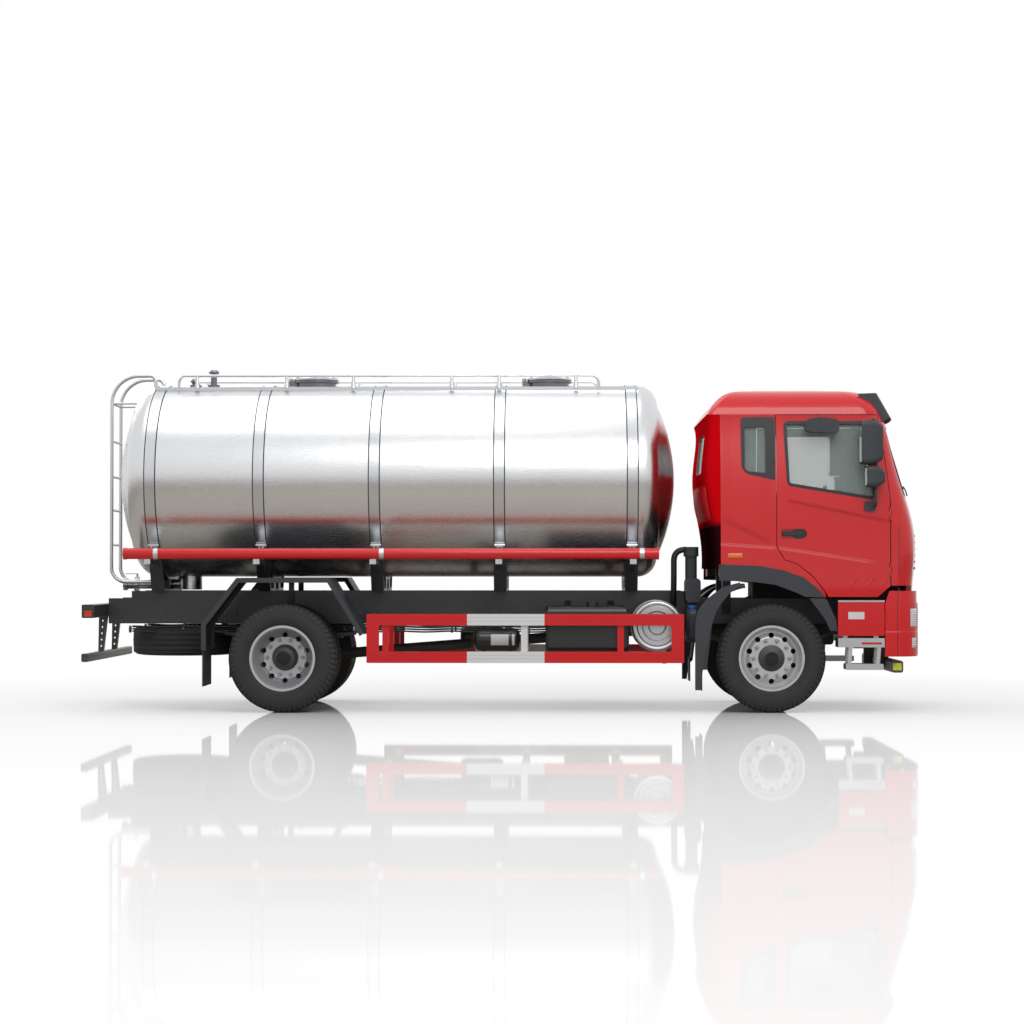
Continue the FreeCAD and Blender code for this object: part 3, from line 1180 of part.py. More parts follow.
recess = prism("XZ", slab(2540, 2773, 1598, 1690, 30), SKIN_OUT, -1176)
handle = fuse(prism("XZ", slab(2556, 2757, 1630, 1662, 12), -1200, -1188), box(2570, 2590, -1190, -1174, 1634, 1658),
              box(2722, 2742, -1190, -1174, 1634, 1658))
door_skin = cut(common(wall, through_side(DOOR)), through_side(WINDOW), crease(2611, 1946, 3535, 1755),
                crease(2511, 1517, 3380, 1387), recess, *door_relief)
door = cut(fuse(door_skin, handle, *door_knuckles), *hinge_rods(HINGE_HEIGHTS, d.knuckle_bore, -1, d.knuckle_high + 2))
node("door_right", door)
node("door_left", mirrored(door))
side_pane = cut(shifted(outer_lower, 0, 15, 0), shifted(outer_lower, 0, 21, 0))
door_glass = common(side_pane, through_side(WINDOW))
node("door_glass_right", door_glass)
node("door_glass_left", mirrored(door_glass))

# The front: a frame of pillars and header, and a flap that lifts on a hinge under the windscreen.
PANEL = slab(-1000, 1000, d.panel_low, 1955, 30)
PANEL_GAP = slab(-1006, 1006, 1000, 1985, 30)
SCREEN = slab(-1010, 1010, 2030, 2640, 60)
sizes(flap_hinge_x=3795, flap_hinge_z=1968)


def flap_rod(y, radius, length):
    return rod("Y", d.flap_hinge_x, y, d.flap_hinge_z, radius, length)


front_zone = box(3400, 4000, -FAR, FAR, d.panel_low, d.roof_seam)
corner_cut = box(3400, 4000, -FAR, -1006, 1000, d.corner_low)
frame_skin = cut(common(wall, front_zone), door_gap, mirrored(door_gap), prism("YZ", PANEL_GAP, 3500, 4000),
                 prism("YZ", SCREEN, 3400, 4000), corner_cut, mirrored(corner_cut), *frame_relief,
                 *[mirrored(piece) for piece in frame_relief])
flap_fixed = []
for y in (-268, 184, -216, 236):
    low_x, high_x = d.flap_hinge_x - d.knuckle_radius, d.flap_hinge_x + 6
    flap_fixed.append(flap_rod(y, d.knuckle_radius, 32))
    flap_fixed.append(box(low_x, high_x, y, y + 32, d.flap_hinge_z, 1990))
flap_pins = [flap_rod(y, d.hinge_pin, 84) for y in (-268, 184)]
firewall = box(3560, 3600, -1156, 1156, d.floor_low, 1995)
door_pieces = end_knuckles + hinge_pins
node("cab_front_frame", fuse(frame_skin, firewall, *door_pieces, *[mirrored(piece) for piece in door_pieces],
                             *flap_fixed, *flap_pins))

flap_skin = common(wall, prism("YZ", PANEL, 3500, 4000))
flap_moving = []
flap_bores = []
for y in (-234, 218):
    flap_moving.append(flap_rod(y, d.knuckle_radius, 16))
    flap_moving.append(box(d.flap_hinge_x - d.knuckle_radius, d.flap_hinge_x + 5, y, y + 16, 1940, d.flap_hinge_z))
    flap_bores.append(flap_rod(y - 1, d.knuckle_bore, 18))
node("front_panel", cut(fuse(flap_skin, *flap_moving), *flap_bores))

windscreen = common(cut(shifted(outer_lower, -12, 0, 0), shifted(outer_lower, -18, 0, 0)),
                    prism("YZ", SCREEN, 3400, 4000))
rear_pane = common(cut(shifted(outer_lower, 12, 0, 0), shifted(outer_lower, 18, 0, 0)),
                   prism("YZ", REAR_WINDOW, 1500, 2000))
quarter_pane = common(side_pane, through_side(QUARTER))
node("cab_glass", group(windscreen, rear_pane, both(quarter_pane)))

sizes(floor_rear=2002, floor_front=3555, floor_half=1135, tunnel_half=430, tunnel_wall=40, tunnel_high=1500)
tunnel = box(d.floor_rear, d.floor_front, -d.tunnel_half, d.tunnel_half, d.floor_low, d.tunnel_high)
tunnel_inner = d.tunnel_half - d.tunnel_wall
floor_pan = cut(fuse(box(d.floor_rear, d.floor_front, -d.floor_half, d.floor_half, d.floor_low, d.floor_high),
                     tunnel),
                box(1900, 3520, -tunnel_inner, tunnel_inner, d.floor_low - 30, d.tunnel_high - d.tunnel_wall))


def longeron():
    """A sill under the floor that runs forward to the cab's tilting eye."""
    low = d.floor_low - d.longeron_depth
    sill = box(2050, d.pivot_x + 30, d.lug_inner, d.lug_outer, low, d.floor_low)
    lug = box(d.pivot_x - 30, d.pivot_x + 30, d.lug_inner, d.lug_outer, d.pivot_z, low)
    eye = rod("Y", d.pivot_x, d.lug_inner, d.pivot_z, 30, d.lug_outer - d.lug_inner)
    bore = rod("Y", d.pivot_x, d.lug_inner - 1, d.pivot_z, d.pivot_pin + d.pin_play, d.lug_outer - d.lug_inner + 2)
    return cut(fuse(sill, lug, eye), bore)


left_longeron = longeron()
node("cab_floor", fuse(floor_pan, left_longeron, mirrored(left_longeron)))


def seat_piece(y):
    cushion = prism("XZ", [(2400, 1650, 20), (2920, 1650, 30), (2930, 1800, 50), (2400, 1770, 30)], y - 250, y + 250)
    back = prism("XZ", [(2420, 1760, 30), (2290, 2380, 50), (2200, 2370, 50), (2330, 1690, 30)], y - 240, y + 240)
    rest = prism("XZ", [(2300, 2400, 30), (2275, 2560, 40), (2195, 2550, 40), (2215, 2370, 20)], y - 140, y + 140)
    stand = box(2480, 2860, y - 200, y + 200, d.floor_high, 1660)
    return fuse(cushion, back, rest, stand)


node("seats", group(seat_piece(-700), seat_piece(700)))

sizes(wheel_x=3050, wheel_y=700, wheel_z=1950, wheel_radius=215, wheel_tube=15)
dash = prism("XZ", [(3560, 1560), (3560, 1980), (3320, 2000, 60), (3220, 1880, 60), (3300, 1560)], -1120, 1120)
wheel_turn = Rotation(Vector(0, 1, 0), -62)
steering_ring = doc.addObject("Part::Torus", "SteeringWheel")
bind(steering_ring, "Radius1", d.wheel_radius)
bind(steering_ring, "Radius2", d.wheel_tube)
seat(steering_ring, d.wheel_x, d.wheel_y, d.wheel_z, wheel_turn)
steering_hub = doc.addObject("Part::Cylinder", "Hub")
bind(steering_hub, "Radius", 60)
bind(steering_hub, "Height", 30)
seat(steering_hub, d.wheel_x, d.wheel_y, d.wheel_z, wheel_turn)
spoke = doc.addObject("Part::Box", "Spoke")
bind(spoke, "Length", 30)
bind(spoke, "Width", d.wheel_radius * 2)
bind(spoke, "Height", 12)
spoke.Placement = FreeCAD.Placement(Vector(driving["wheel_x"], driving["wheel_y"], driving["wheel_z"]), wheel_turn)
spoke.Placement = spoke.Placement.multiply(FreeCAD.Placement(Vector(-15, -driving["wheel_radius"], 0), Rotation()))
column = doc.addObject("Part::Cylinder", "Column")
bind(column, "Radius", 30)
bind(column, "Height", 420)
seat(column, d.wheel_x, d.wheel_y, d.wheel_z, Rotation(Vector(0, 1, 0), 118))
node("dashboard", fuse(dash, column, steering_ring, steering_hub, spoke))


# Outside the cab: the sun visor, the wheel-arch trims and the mirrors, which ride on the doors.

sizes(visor_half=1012, visor_wall=12, visor_low=2726, visor_high=2952)
visor_bulge = d.front_bulge


def visor_form(inset):
    """The visor's curved face as a solid: level outlines that draw back as they rise."""
    levels = ((2640, 3719), (3000, 3515))
    plans = [bulged_plan(3200, as_size(front) - inset, d.visor_half - inset, visor_bulge - inset, as_size(60) - inset,
                         as_size(14)) for height, front in levels]
    return loft([sketch_at("XY", level[0], plan) for level, plan in zip(levels, plans)])


VISOR = [(3270, 2945), (3375, 2732), (3483, 2669), (3568, d.visor_low), (3900, d.visor_low), (3900, d.visor_high),
         (3440, d.visor_high)]
visor_shell = common(cut(visor_form(as_size(0)), shifted(visor_form(d.visor_wall), 0, 0, 0)),
                     prism("XZ", VISOR, -FAR, FAR))
stays = [box(3330, 3562 - y * y / 10000, y - 15, y + 15, 2880, 2892) for y in (-700, 0, 700)]
node("sun_visor", cut(fuse(visor_shell, *stays), outer_upper, outer_lower))

ARCH_TRIM = [(1972, 1364), (2339, 1350), (2550, 1313), (2746, 1244), (2871, 1145), (2940, 1066), (2760, 1066),
             (2688, 1102), (2494, 1176), (2294, 1203), (1972, 1216)]
arch_trim = cut(prism("XZ", ARCH_TRIM, -1216, -1180), outer_lower)
node("arch_trims", both(arch_trim))


def shell(x0, x1, x2, y0, y1, z0, z1, corner):
    """A mirror's housing: a rounded back that narrows forwards."""
    plan = [(x0, 0, 0), (x1, 6, 6), (x2, 34, 40)]
    outlines = [sketch_at("YZ", x, slab(y0 + shy, y1 - shy, z0 + drop, z1 - drop, corner)) for x, shy, drop in plan]
    return loft(outlines)


def mirror_set(extra):
    arm = pipe("YZ", 3395, [(-1180, 1896), (-1330, 1896, 60), (-1330, 2690, 50), (-1100, 2690)], 14)
    foot = prism("XZ", slab(3303, 3403, 1851, 1942, 25), -1224, -1180)
    main = shell(3257, 3390, 3455, -1420, -1235, 2279, 2674, 45)
    wide = shell(3306, 3410, 3472, -1420, -1235, 2070, 2261, 40)
    return cut(fuse(arm, foot, main, wide, *extra), outer_lower)


kerb_mirror = [prism("XZ", [(2756, 2580, 40), (3066, 2562, 40), (3066, 2690, 50), (2900, 2712, 60), (2756, 2690, 50)],
                     -1310, -1190), box(2850, 2880, -1195, -1090, 2680, 2700)]
node("mirrors_right", mirror_set(kerb_mirror))
node("mirrors_left", mirrored(mirror_set([])))


# Bumper with its lamps, steps and their panels, all fixed to the frame.

sizes(bumper_rear=3485, bumper_half=1240, bumper_low=521, bumper_high=1122, bumper_wall=22, bumper_corner=200,
      bumper_recess=1010, recess_half=1018, lamp_gap=4)
bumper_form = prism("XY", bulged_plan(d.bumper_rear, front_end, d.bumper_half, d.front_bulge, d.bumper_corner,
                                      as_size(10)), d.bumper_low, d.bumper_high)
bumper_inner = prism("XY", bulged_plan(d.bumper_rear - 100, front_end - d.bumper_wall, d.bumper_half - d.bumper_wall,
                                       d.front_bulge - d.bumper_wall, d.bumper_corner - d.bumper_wall, as_size(10)),
                     d.bumper_low - 10, d.bumper_high + 10)
HEADLAMP = (-1060, -700, 790, 965)
FOG_LAMP = (-1040, -860, 597, 696)


def lamp_hole(y0, y1, z0, z1):
    return prism("YZ", slab(y0, y1, z0, z1, 40), 3600, 4000)


def lamp_unit(y0, y1, z0, z1, back, foot_z):
    """A lamp: a block with a lens flush in the bumper, on a foot from the beam behind."""
    gap = d.lamp_gap
    body = prism("YZ", slab(y0 + gap, y1 - gap, z0 + gap, z1 - gap, 36), back, 3950)
    middle = (y0 + y1) / 2
    foot = box(d.beam_front, back + 2, middle - 30, middle + 30, foot_z, foot_z + 40)
    return fuse(common(body, shifted(bumper_form, -d.lamp_gap, 0, 0)), foot)


grille = [prism("YZ", slab(-560, 560, low, low + 34, 14), 3700, 4000) for low in (640, 710, 780)]
bumper_skin = cut(bumper_form, bumper_inner, box(3600, 4000, -d.recess_half, d.recess_half, d.bumper_recess, 1200),
                  lamp_hole(*HEADLAMP), mirrored(lamp_hole(*HEADLAMP)), lamp_hole(*FOG_LAMP),
                  mirrored(lamp_hole(*FOG_LAMP)), *grille)
bumper_slant = prism("XZ", [(3400, 1000), (3485, 1000), (3530, 1130), (3400, 1130)], -FAR, FAR)
node("bumper", cut(bumper_skin, bumper_slant))

headlamp = lamp_unit(*HEADLAMP, 3640, 762)
fog_lamp = lamp_unit(*FOG_LAMP, 3660, 648)
tail_lamp = box(rear_end, d.tail_beam_rear, -1100, -700, 885, 975)
side_lamp = box(-3870, -3800, -d.tail_beam_half - 16, -d.tail_beam_half, 884, 940)
step_lamp = box(3149, 3296, -1249, -1245, 863, 929)
end_marker = box(3570, 3650, -d.underrun_half - 4, -d.underrun_half, 392, 458)
node("lamps", group(both(headlamp), both(fog_lamp), both(tail_lamp), both(side_lamp), both(step_lamp),
                    both(end_marker)))

sizes(step_rear=3057, step_front=3480, step_outer=1245, step_inner=1190, step_panel_low=711, step_panel_high=1020)
step_face = prism("XZ", slab(d.step_rear, d.step_front, d.step_panel_low, d.step_panel_high, 14), -d.step_outer,
                  -d.step_inner)
rear_arm = box(3100, 3160, -d.step_inner, -d.rail_half_spread, 830, 900)
front_arm = box(3380, 3440, -d.step_inner, -d.rail_half_spread - d.bracket_wall, 830, 900)
node("step_panels", both(fuse(step_face, rear_arm, front_arm)))
upper_tread = prism("YZ", [(-1245, 606), (-1000, 606), (-1000, 690), (-1245, 690)], d.step_rear, d.step_front)
upper_pocket = box(d.step_rear + 20, d.step_front - 20, -1225, -1010, 600, 672)
lower_tread = prism("XZ", slab(3127, 3471, 399, 455, 12), -1240, -1030)
posts = [box(x, x + 45, -1175, -1130, 680, 830) for x in (3108, 3388)]
struts = [prism("XZ", [(x, 440), (x + 36, 440), (x + 50, 615), (x + 14, 615)], y, y + 16)
          for x in (3140, 3400) for y in (-1240, -1060)]
node("step_treads", both(fuse(cut(upper_tread, upper_pocket), lower_tread, *posts, *struts)))


# Every object and every sub-part is checked before anything is written.

doc.recompute()
for thing in doc.Objects:
    if "Invalid" in thing.State or "Error" in thing.State:
        raise RuntimeError("%s (%s) failed: %s" % (thing.Name, thing.Label, thing.State))
for thing in doc.findObjects("PartDesign::Pocket"):
    if thing.Shape.Volume >= thing.BaseFeature.Shape.Volume - 1:
        raise RuntimeError("%s cuts nothing" % thing.Name)
os.makedirs("parts", exist_ok=True)
for piece in nodes:
    if piece.Shape.isNull() or not piece.Shape.isValid() or not piece.Shape.Solids:
        raise RuntimeError("%s has no valid solid" % piece.Label)
for piece in nodes:
    piece.Shape.exportStep(os.path.join("parts", piece.Label + ".step"))
whole = Part.makeCompound([piece.Shape for piece in nodes]).BoundBox
print("%d nodes, box %.1f..%.1f, %.1f..%.1f, %.1f..%.1f" % (
    len(nodes), whole.XMin, whole.XMax, whole.YMin, whole.YMax, whole.ZMin, whole.ZMax))
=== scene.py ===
import math

import bmesh
import bpy
import numpy as np
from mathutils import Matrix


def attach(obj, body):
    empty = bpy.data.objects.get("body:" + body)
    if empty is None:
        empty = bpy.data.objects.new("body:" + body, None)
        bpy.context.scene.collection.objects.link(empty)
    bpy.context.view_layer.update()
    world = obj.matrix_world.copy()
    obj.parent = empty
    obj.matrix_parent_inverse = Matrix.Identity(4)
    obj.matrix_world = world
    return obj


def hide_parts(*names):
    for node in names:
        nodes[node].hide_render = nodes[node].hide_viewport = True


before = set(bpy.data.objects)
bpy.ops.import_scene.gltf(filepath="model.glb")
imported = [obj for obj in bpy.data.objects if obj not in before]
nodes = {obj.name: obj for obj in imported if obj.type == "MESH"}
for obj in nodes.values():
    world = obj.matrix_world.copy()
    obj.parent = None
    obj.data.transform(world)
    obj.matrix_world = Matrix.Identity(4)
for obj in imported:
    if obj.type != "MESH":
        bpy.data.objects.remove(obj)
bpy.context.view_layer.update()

# The viewpoint: a long lens at eye height, square to the truck's right side.
# The floor is a wide pale sheet with a thin gloss, and soft panels and an even white room light the truck.
EYE = (0.477, -24.2, 1.295)
LENS_MM = 88.0
TILT_UP, TURN_LEFT = math.radians(1.372), math.radians(1.006)

camera_data = bpy.data.cameras.new("camera")
camera_data.lens = LENS_MM
camera_data.clip_end = 400
camera = bpy.data.objects.new("camera", camera_data)
camera.location = EYE
camera.rotation_euler = (math.pi / 2 + TILT_UP, 0, TURN_LEFT)
bpy.context.scene.collection.objects.link(camera)
bpy.context.scene.camera = camera
bpy.context.scene.view_settings.view_transform = "Standard"


class Socket:
    """A value in a shader. Sums, products and comparisons of values add the Math nodes that work them out."""

    def __init__(self, tree, socket):
        self.tree = tree
        self.socket = socket

    def maths(self, operation, *inputs, clamp=False):
        step = self.tree.nodes.new("ShaderNodeMath")
        step.operation = operation
        step.use_clamp = clamp
        for index, item in enumerate(inputs):
            feed(self.tree, step.inputs[index], item)
        return Socket(self.tree, step.outputs[0])

    def __add__(self, other):
        return self.maths("ADD", self, other)

    def __sub__(self, other):
        return self.maths("SUBTRACT", self, other)

    def __mul__(self, other):
        return self.maths("MULTIPLY", self, other)

    def distance(self, other):
        """The length of the line whose two legs are the values."""
        square = self * self + other * other
        return square.maths("SQRT", square)

    def above(self, edge, soft=0.001):
        """0 below the edge and 1 above it, with a ramp as wide as soft."""
        return self.maths("MULTIPLY_ADD", self, 1 / soft, -edge / soft + 0.5, clamp=True)

    def below(self, edge, soft=0.001):
        return self.maths("MULTIPLY_ADD", self, -1 / soft, edge / soft + 0.5, clamp=True)

    def between(self, low, high, soft=0.001):
        return self.above(low, soft) * self.below(high, soft)

    def wave(self, length):
        """A sine of the value, from -1 to 1, with that wavelength."""
        return self.maths("SINE", self * (math.tau / length))


def feed(tree, target, item):
    """Sets a socket to a number or colour in place of any link, or links a value or a node's socket to it."""
    if isinstance(item, Socket):
        tree.links.new(item.socket, target)
    elif isinstance(item, bpy.types.NodeSocket):
        tree.links.new(item, target)
    else:
        for link in list(target.links):
            tree.links.remove(link)
        target.default_value = item


class Finish:
    """A material being made: its node tree and its shader."""

    def __init__(self, name, **shader):
        self.material = bpy.data.materials.new(name)
        self.material.use_nodes = True
        self.tree = self.material.node_tree
        self.shader = self.tree.nodes["Principled BSDF"]
        self.set(**shader)

    def set(self, **values):
        """Feeds the shader's inputs by name, with an underscore for each space."""
        for key, item in values.items():
            feed(self.tree, self.shader.inputs[key.replace("_", " ").title().replace("Ior", "IOR")], item)

    def node(self, kind, settings=None, out=0, **links):
        """Adds one node, sets it up, and feeds its inputs by name, or by number as i0, i1 and so on."""
        made = self.tree.nodes.new("ShaderNode" + kind)
        for key, item in (settings or {}).items():
            setattr(made, key, item)
        for key, item in links.items():
            slot = int(key[1:]) if key[0] == "i" and key[1:].isdigit() else key.replace("_", " ").title()
            feed(self.tree, made.inputs[slot], item)
        return Socket(self.tree, made.outputs[out])

    def place(self, axis=None):
        """Where the surface is, in metres in the truck's frame, or one axis of it."""
        spot = self.node("TexCoord", out="Object")
        if axis is None:
            return spot
        return self.node("SeparateXYZ", out="XYZ".index(axis), Vector=spot)

    def stretched(self, x, y, z):
        return self.node("Mapping", Vector=self.place(), Scale=(x, y, z))

    def noise(self, scale, detail=3, spot=None, rough=0.5):
        return self.node("TexNoise", Vector=spot or self.place(), Scale=scale, Detail=detail, Roughness=rough)

    def blend(self, share, first, second):
        """A colour part of the way from one to the other."""
        return self.node("Mix", {"data_type": "RGBA"}, out=2, i0=share, i6=first, i7=second)

    def bump(self, height, depth, strength=1.0, under=None):
        made = self.node("Bump", Height=height, Distance=depth, Strength=strength)
        if under is not None:
            feed(self.tree, made.socket.node.inputs["Normal"], under)
        return made


def colour(red, green, blue):
    """A paint's colour from its red, green and blue as seen, 0 to 255, turned into light."""
    light = [((part / 255 + 0.055) / 1.055) ** 2.4 if part > 10 else part / 255 / 12.92 for part in (red, green, blue)]
    return (*light, 1.0)


FLOOR_HALF = 80.0
FLOOR_FADE_FROM, FLOOR_FADE_TO = 3.0, 9.0
MIRROR_NEAR, MIRROR_FAR = 0.46, 0.06
floor_mesh = bpy.data.meshes.new("floor")
floor_mesh.from_pydata([(-FLOOR_HALF, -FLOOR_HALF, 0), (FLOOR_HALF, -FLOOR_HALF, 0), (FLOOR_HALF, FLOOR_HALF, 0),
                        (-FLOOR_HALF, FLOOR_HALF, 0)], [], [(0, 1, 2, 3)])
floor = bpy.data.objects.new("floor", floor_mesh)
bpy.context.scene.collection.objects.link(floor)

floor_finish = Finish("studio_floor", Roughness=0.9, Specular_IOR_Level=0.1)
seen = floor_finish.node("LightPath", out="Is Camera Ray")
floor_finish.set(Base_Color=floor_finish.blend(seen, colour(196, 190, 180), colour(250, 250, 250)))
away = floor_finish.node("VectorMath", {"operation": "LENGTH"}, out="Value", i0=floor_finish.place())
far_off = away.above((FLOOR_FADE_FROM + FLOOR_FADE_TO) / 2, FLOOR_FADE_TO - FLOOR_FADE_FROM)
glow = floor_finish.node("Emission", Color=(1, 1, 1, 1), Strength=1.0)
gloss = floor_finish.node("BsdfAnisotropic", Color=(1, 1, 1, 1), Roughness=0.03)
ground = floor_finish.node("MixShader", i0=far_off * seen, i1=floor_finish.shader.outputs[0], i2=glow)
near_share = away.below(10.0, 15.0) * (MIRROR_NEAR - MIRROR_FAR) + MIRROR_FAR
mixed = floor_finish.node("MixShader", i0=near_share * seen, i1=ground, i2=gloss)
floor_finish.tree.links.new(mixed.socket, floor_finish.tree.nodes["Material Output"].inputs["Surface"])
floor_mesh.materials.append(floor_finish.material)

world = bpy.data.worlds.new("room")
world.use_nodes = True
bpy.context.scene.world = world
backdrop = world.node_tree.nodes["Background"]
ROOM_LIGHT = 0.5
light_path = world.node_tree.nodes.new("ShaderNodeLightPath")
shown = Socket(world.node_tree, light_path.outputs["Is Camera Ray"])
for ray in ("Is Glossy Ray", "Is Transmission Ray"):
    shown = shown.maths("MAXIMUM", shown, Socket(world.node_tree, light_path.outputs[ray]))
feed(world.node_tree, backdrop.inputs["Strength"], shown * (1 - ROOM_LIGHT) + ROOM_LIGHT)
backdrop.inputs["Color"].default_value = (1, 1, 1, 1)


def soft_panel(name, spot, aim, wide, high, power):
    """A square soft light that faces a point."""
    panel = bpy.data.lights.new(name, "AREA")
    panel.shape = "RECTANGLE"
    panel.size, panel.size_y = wide, high
    panel.energy = power
    lamp = bpy.data.objects.new(name, panel)
    lamp.location = spot
    step = [a - b for a, b in zip(aim, spot)]
    flat = math.hypot(step[0], step[1])
    lamp.rotation_euler = (math.atan2(flat, -step[2]), 0, math.atan2(step[1], step[0]) - math.pi / 2)
    bpy.context.scene.collection.objects.link(lamp)


soft_panel("key_light", (3.0, -10.0, 9.0), (0, 0, 1.2), 9.0, 5.0, 540)
soft_panel("top_light", (-2.0, 0.5, 12.0), (0, 0, 1.5), 10.0, 7.0, 360)
soft_panel("back_light", (-7.0, 10.0, 8.0), (0, 0, 1.2), 8.0, 5.0, 280)


# Chassis: rolled and pressed steel rails with their cross-members, the tank's cradle, springs and hangers,
# all in one dark blue-black chassis paint, bolted with hexagon heads and dulled by road dust from below.
def dress(finish, *names):
    """Gives CAD nodes a finish."""
    for name in names:
        slots = nodes[name].data.materials
        slots.clear()
        slots.append(finish.material)


def with_dust(finish, base, dust, low, high, amount):
    """Base colour with a thin dust that gathers towards the ground, broken up by cloudy noise."""
    fall = finish.place("Z").below((low + high) / 2, high - low)
    cloud = finish.noise(3.0, 5, rough=0.65).above(0.45, 0.5)
    return finish.blend(fall * cloud * amount, base, dust)


ROAD_DUST = colour(140, 130, 116)
chassis_paint = Finish("chassis_paint", Roughness=0.42, Coat_Weight=0.2, Coat_Roughness=0.25)
chassis_paint.set(Base_Color=with_dust(chassis_paint, colour(30, 33, 40), ROAD_DUST, 0.3, 1.4, 0.2),
                  Normal=chassis_paint.bump(chassis_paint.noise(140, 2), 0.0006))
dress(chassis_paint, "frame_rails", "frame_crossmembers", "tank_cradle", "leaf_springs", "rear_underrun")


def grid_faces(rows, columns, round_rows, round_columns):
    """Quads between the neighbours of a grid of points. A round direction joins its last line to its first."""
    row = np.arange(rows if round_rows else rows - 1)[:, None]
    column = np.arange(columns if round_columns else columns - 1)[None, :]
    below, beside = (row + 1) % rows, (column + 1) % columns
    corners = (row * columns + column, row * columns + beside, below * columns + beside, below * columns + column)
    return np.stack(np.broadcast_arrays(*corners), axis=-1).reshape(-1, 4)


def piece(name, sheets, finish, body, replaces=(), sharp=35):
    """One object from closed grids of points. A sheet is (points, round_rows, round_columns)."""
    counts = [sheet[0].shape[0] * sheet[0].shape[1] for sheet in sheets]
    starts = np.cumsum([0] + counts[:-1])
    spots = np.concatenate([sheet[0].reshape(-1, 3) for sheet in sheets])
    faces = np.concatenate([grid_faces(*sheet[0].shape[:2], *sheet[1:]) + start
                            for sheet, start in zip(sheets, starts)])
    mesh = bpy.data.meshes.new(name)
    mesh.from_pydata(spots.tolist(), [], faces.tolist())
    form = bmesh.new()
    form.from_mesh(mesh)
    bmesh.ops.remove_doubles(form, verts=form.verts, dist=2e-6)
    bmesh.ops.recalc_face_normals(form, faces=form.faces)
    form.to_mesh(mesh)
    form.free()
    mesh.polygons.foreach_set("use_smooth", np.ones(len(mesh.polygons), dtype=bool))
    mesh.set_sharp_from_angle(angle=math.radians(sharp))
    mesh.materials.append(finish.material)
    made = bpy.data.objects.new(name, mesh)
    bpy.context.scene.collection.objects.link(made)
    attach(made, body)
    if replaces:
        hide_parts(*replaces)


def lathe(profile, centre, steps, axis="Y"):
    """A profile of (along, radius) points turned about an axis: the radius goes round it as sine and cosine."""
    profile = np.asarray(profile, dtype=float)
    turn = np.arange(steps) * (math.tau / steps)
    along = np.repeat(profile[:, :1], steps, axis=1)
    across, up = profile[:, 1:] * np.sin(turn), profile[:, 1:] * np.cos(turn)
    order = {"X": (along, across, up), "Y": (across, along, up), "Z": (across, up, along)}[axis]
    return np.stack(order, axis=-1) + np.asarray(centre, dtype=float)


def both_sides(sheets):
    """The same grids and their mirror images across the truck's middle plane."""
    return sheets + [(sheet[0] * (1, -1, 1), *sheet[1:]) for sheet in sheets]


def bolt_heads(places, axis, out, radius, height):
    """Hexagon heads on a washer: six-sided rings that step in, one head at each place, standing out along an axis."""
    profile = np.array([(0.0, 0.0), (0.0, radius * 1.35), (height * 0.2, radius * 1.35), (height * 0.2, radius),
                        (height * 0.9, radius), (height, radius * 0.8), (height, 0.0)]) * (out, 1)
    return [(lathe(profile, place, 6, axis), False, True) for place in places]


RAIL_WEB, RAIL_LINES = 0.4304, (0.83, 0.90)
bolt_x = np.concatenate([np.array((-3.70, -3.145, -2.62, -1.42, -0.35, 0.95, 1.60))[:, None] + (-0.045, 0.045),
                         np.array((-3.29, -2.28, -1.207, -0.05, 1.187))[:, None] + (-0.04, 0.04)]).ravel()
spread = np.stack(np.meshgrid(bolt_x, RAIL_LINES, indexing="ij"), axis=-1).reshape(-1, 2)
rail_bolts = bolt_heads(np.stack([spread[:, 0], np.full(len(spread), -RAIL_WEB), spread[:, 1]], axis=-1), "Y", -1,
                        0.011, 0.012)
bolt_steel = Finish("bolt_steel", Base_Color=colour(74, 78, 84), Roughness=0.45, Metallic=0.6)
bolt_steel.set(Normal=bolt_steel.bump(bolt_steel.noise(300, 2), 0.0004))
piece("rail_bolts", both_sides(rail_bolts), bolt_steel, "chassis")


# Air and wiring lines: black nylon tubes clipped along both rails, with bright clips.
# Each tube is drawn into long runs and dips a little between its clips.
def rounded(points, reach, steps, closed=False):
    """A path with each corner turned by a parabola: points (1-t)(1-t)A + 2t(1-t)P + ttB, A and B short of corner P."""
    points = np.asarray(points, dtype=float)
    reach = np.broadcast_to(np.asarray(reach, dtype=float), (len(points),))[:, None]
    back, on = np.roll(points, 1, axis=0) - points, np.roll(points, -1, axis=0) - points
    entry = points + back / np.maximum(np.linalg.norm(back, axis=1, keepdims=True), 1e-9) * reach
    leave = points + on / np.maximum(np.linalg.norm(on, axis=1, keepdims=True), 1e-9) * reach
    if not closed:
        entry[[0, -1]] = leave[[0, -1]] = points[[0, -1]]
    t = np.linspace(0, 1, steps)[None, :, None]
    curve = entry[:, None] * (1 - t) ** 2 + points[:, None] * 2 * t * (1 - t) + leave[:, None] * t ** 2
    curve = curve.reshape(-1, points.shape[1])
    if closed:
        return curve
    return np.concatenate([curve[steps - 1:-steps], curve[-1:]])


def tube(path, radius, side, around):
    """A round tube along a path: a ring of points, radius times (cos a, sin a), square to the path at each step."""
    path = np.asarray(path, dtype=float)
    ahead = np.gradient(path, axis=0)
    ahead /= np.linalg.norm(ahead, axis=1, keepdims=True)
    across = np.cross(ahead, np.asarray(side, dtype=float))
    across /= np.linalg.norm(across, axis=1, keepdims=True)
    over = np.cross(ahead, across)
    angle = (np.arange(around) * (math.tau / around))[None, :, None]
    ring = np.cos(angle) * across[:, None] + np.sin(angle) * over[:, None]
    size = np.concatenate([[0.0], np.broadcast_to(radius, len(path)), [0.0]])[:, None, None]
    whole = np.concatenate([path[:1], path, path[-1:]])[:, None] + np.concatenate([ring[:1], ring, ring[-1:]]) * size
    return (whole, False, True)


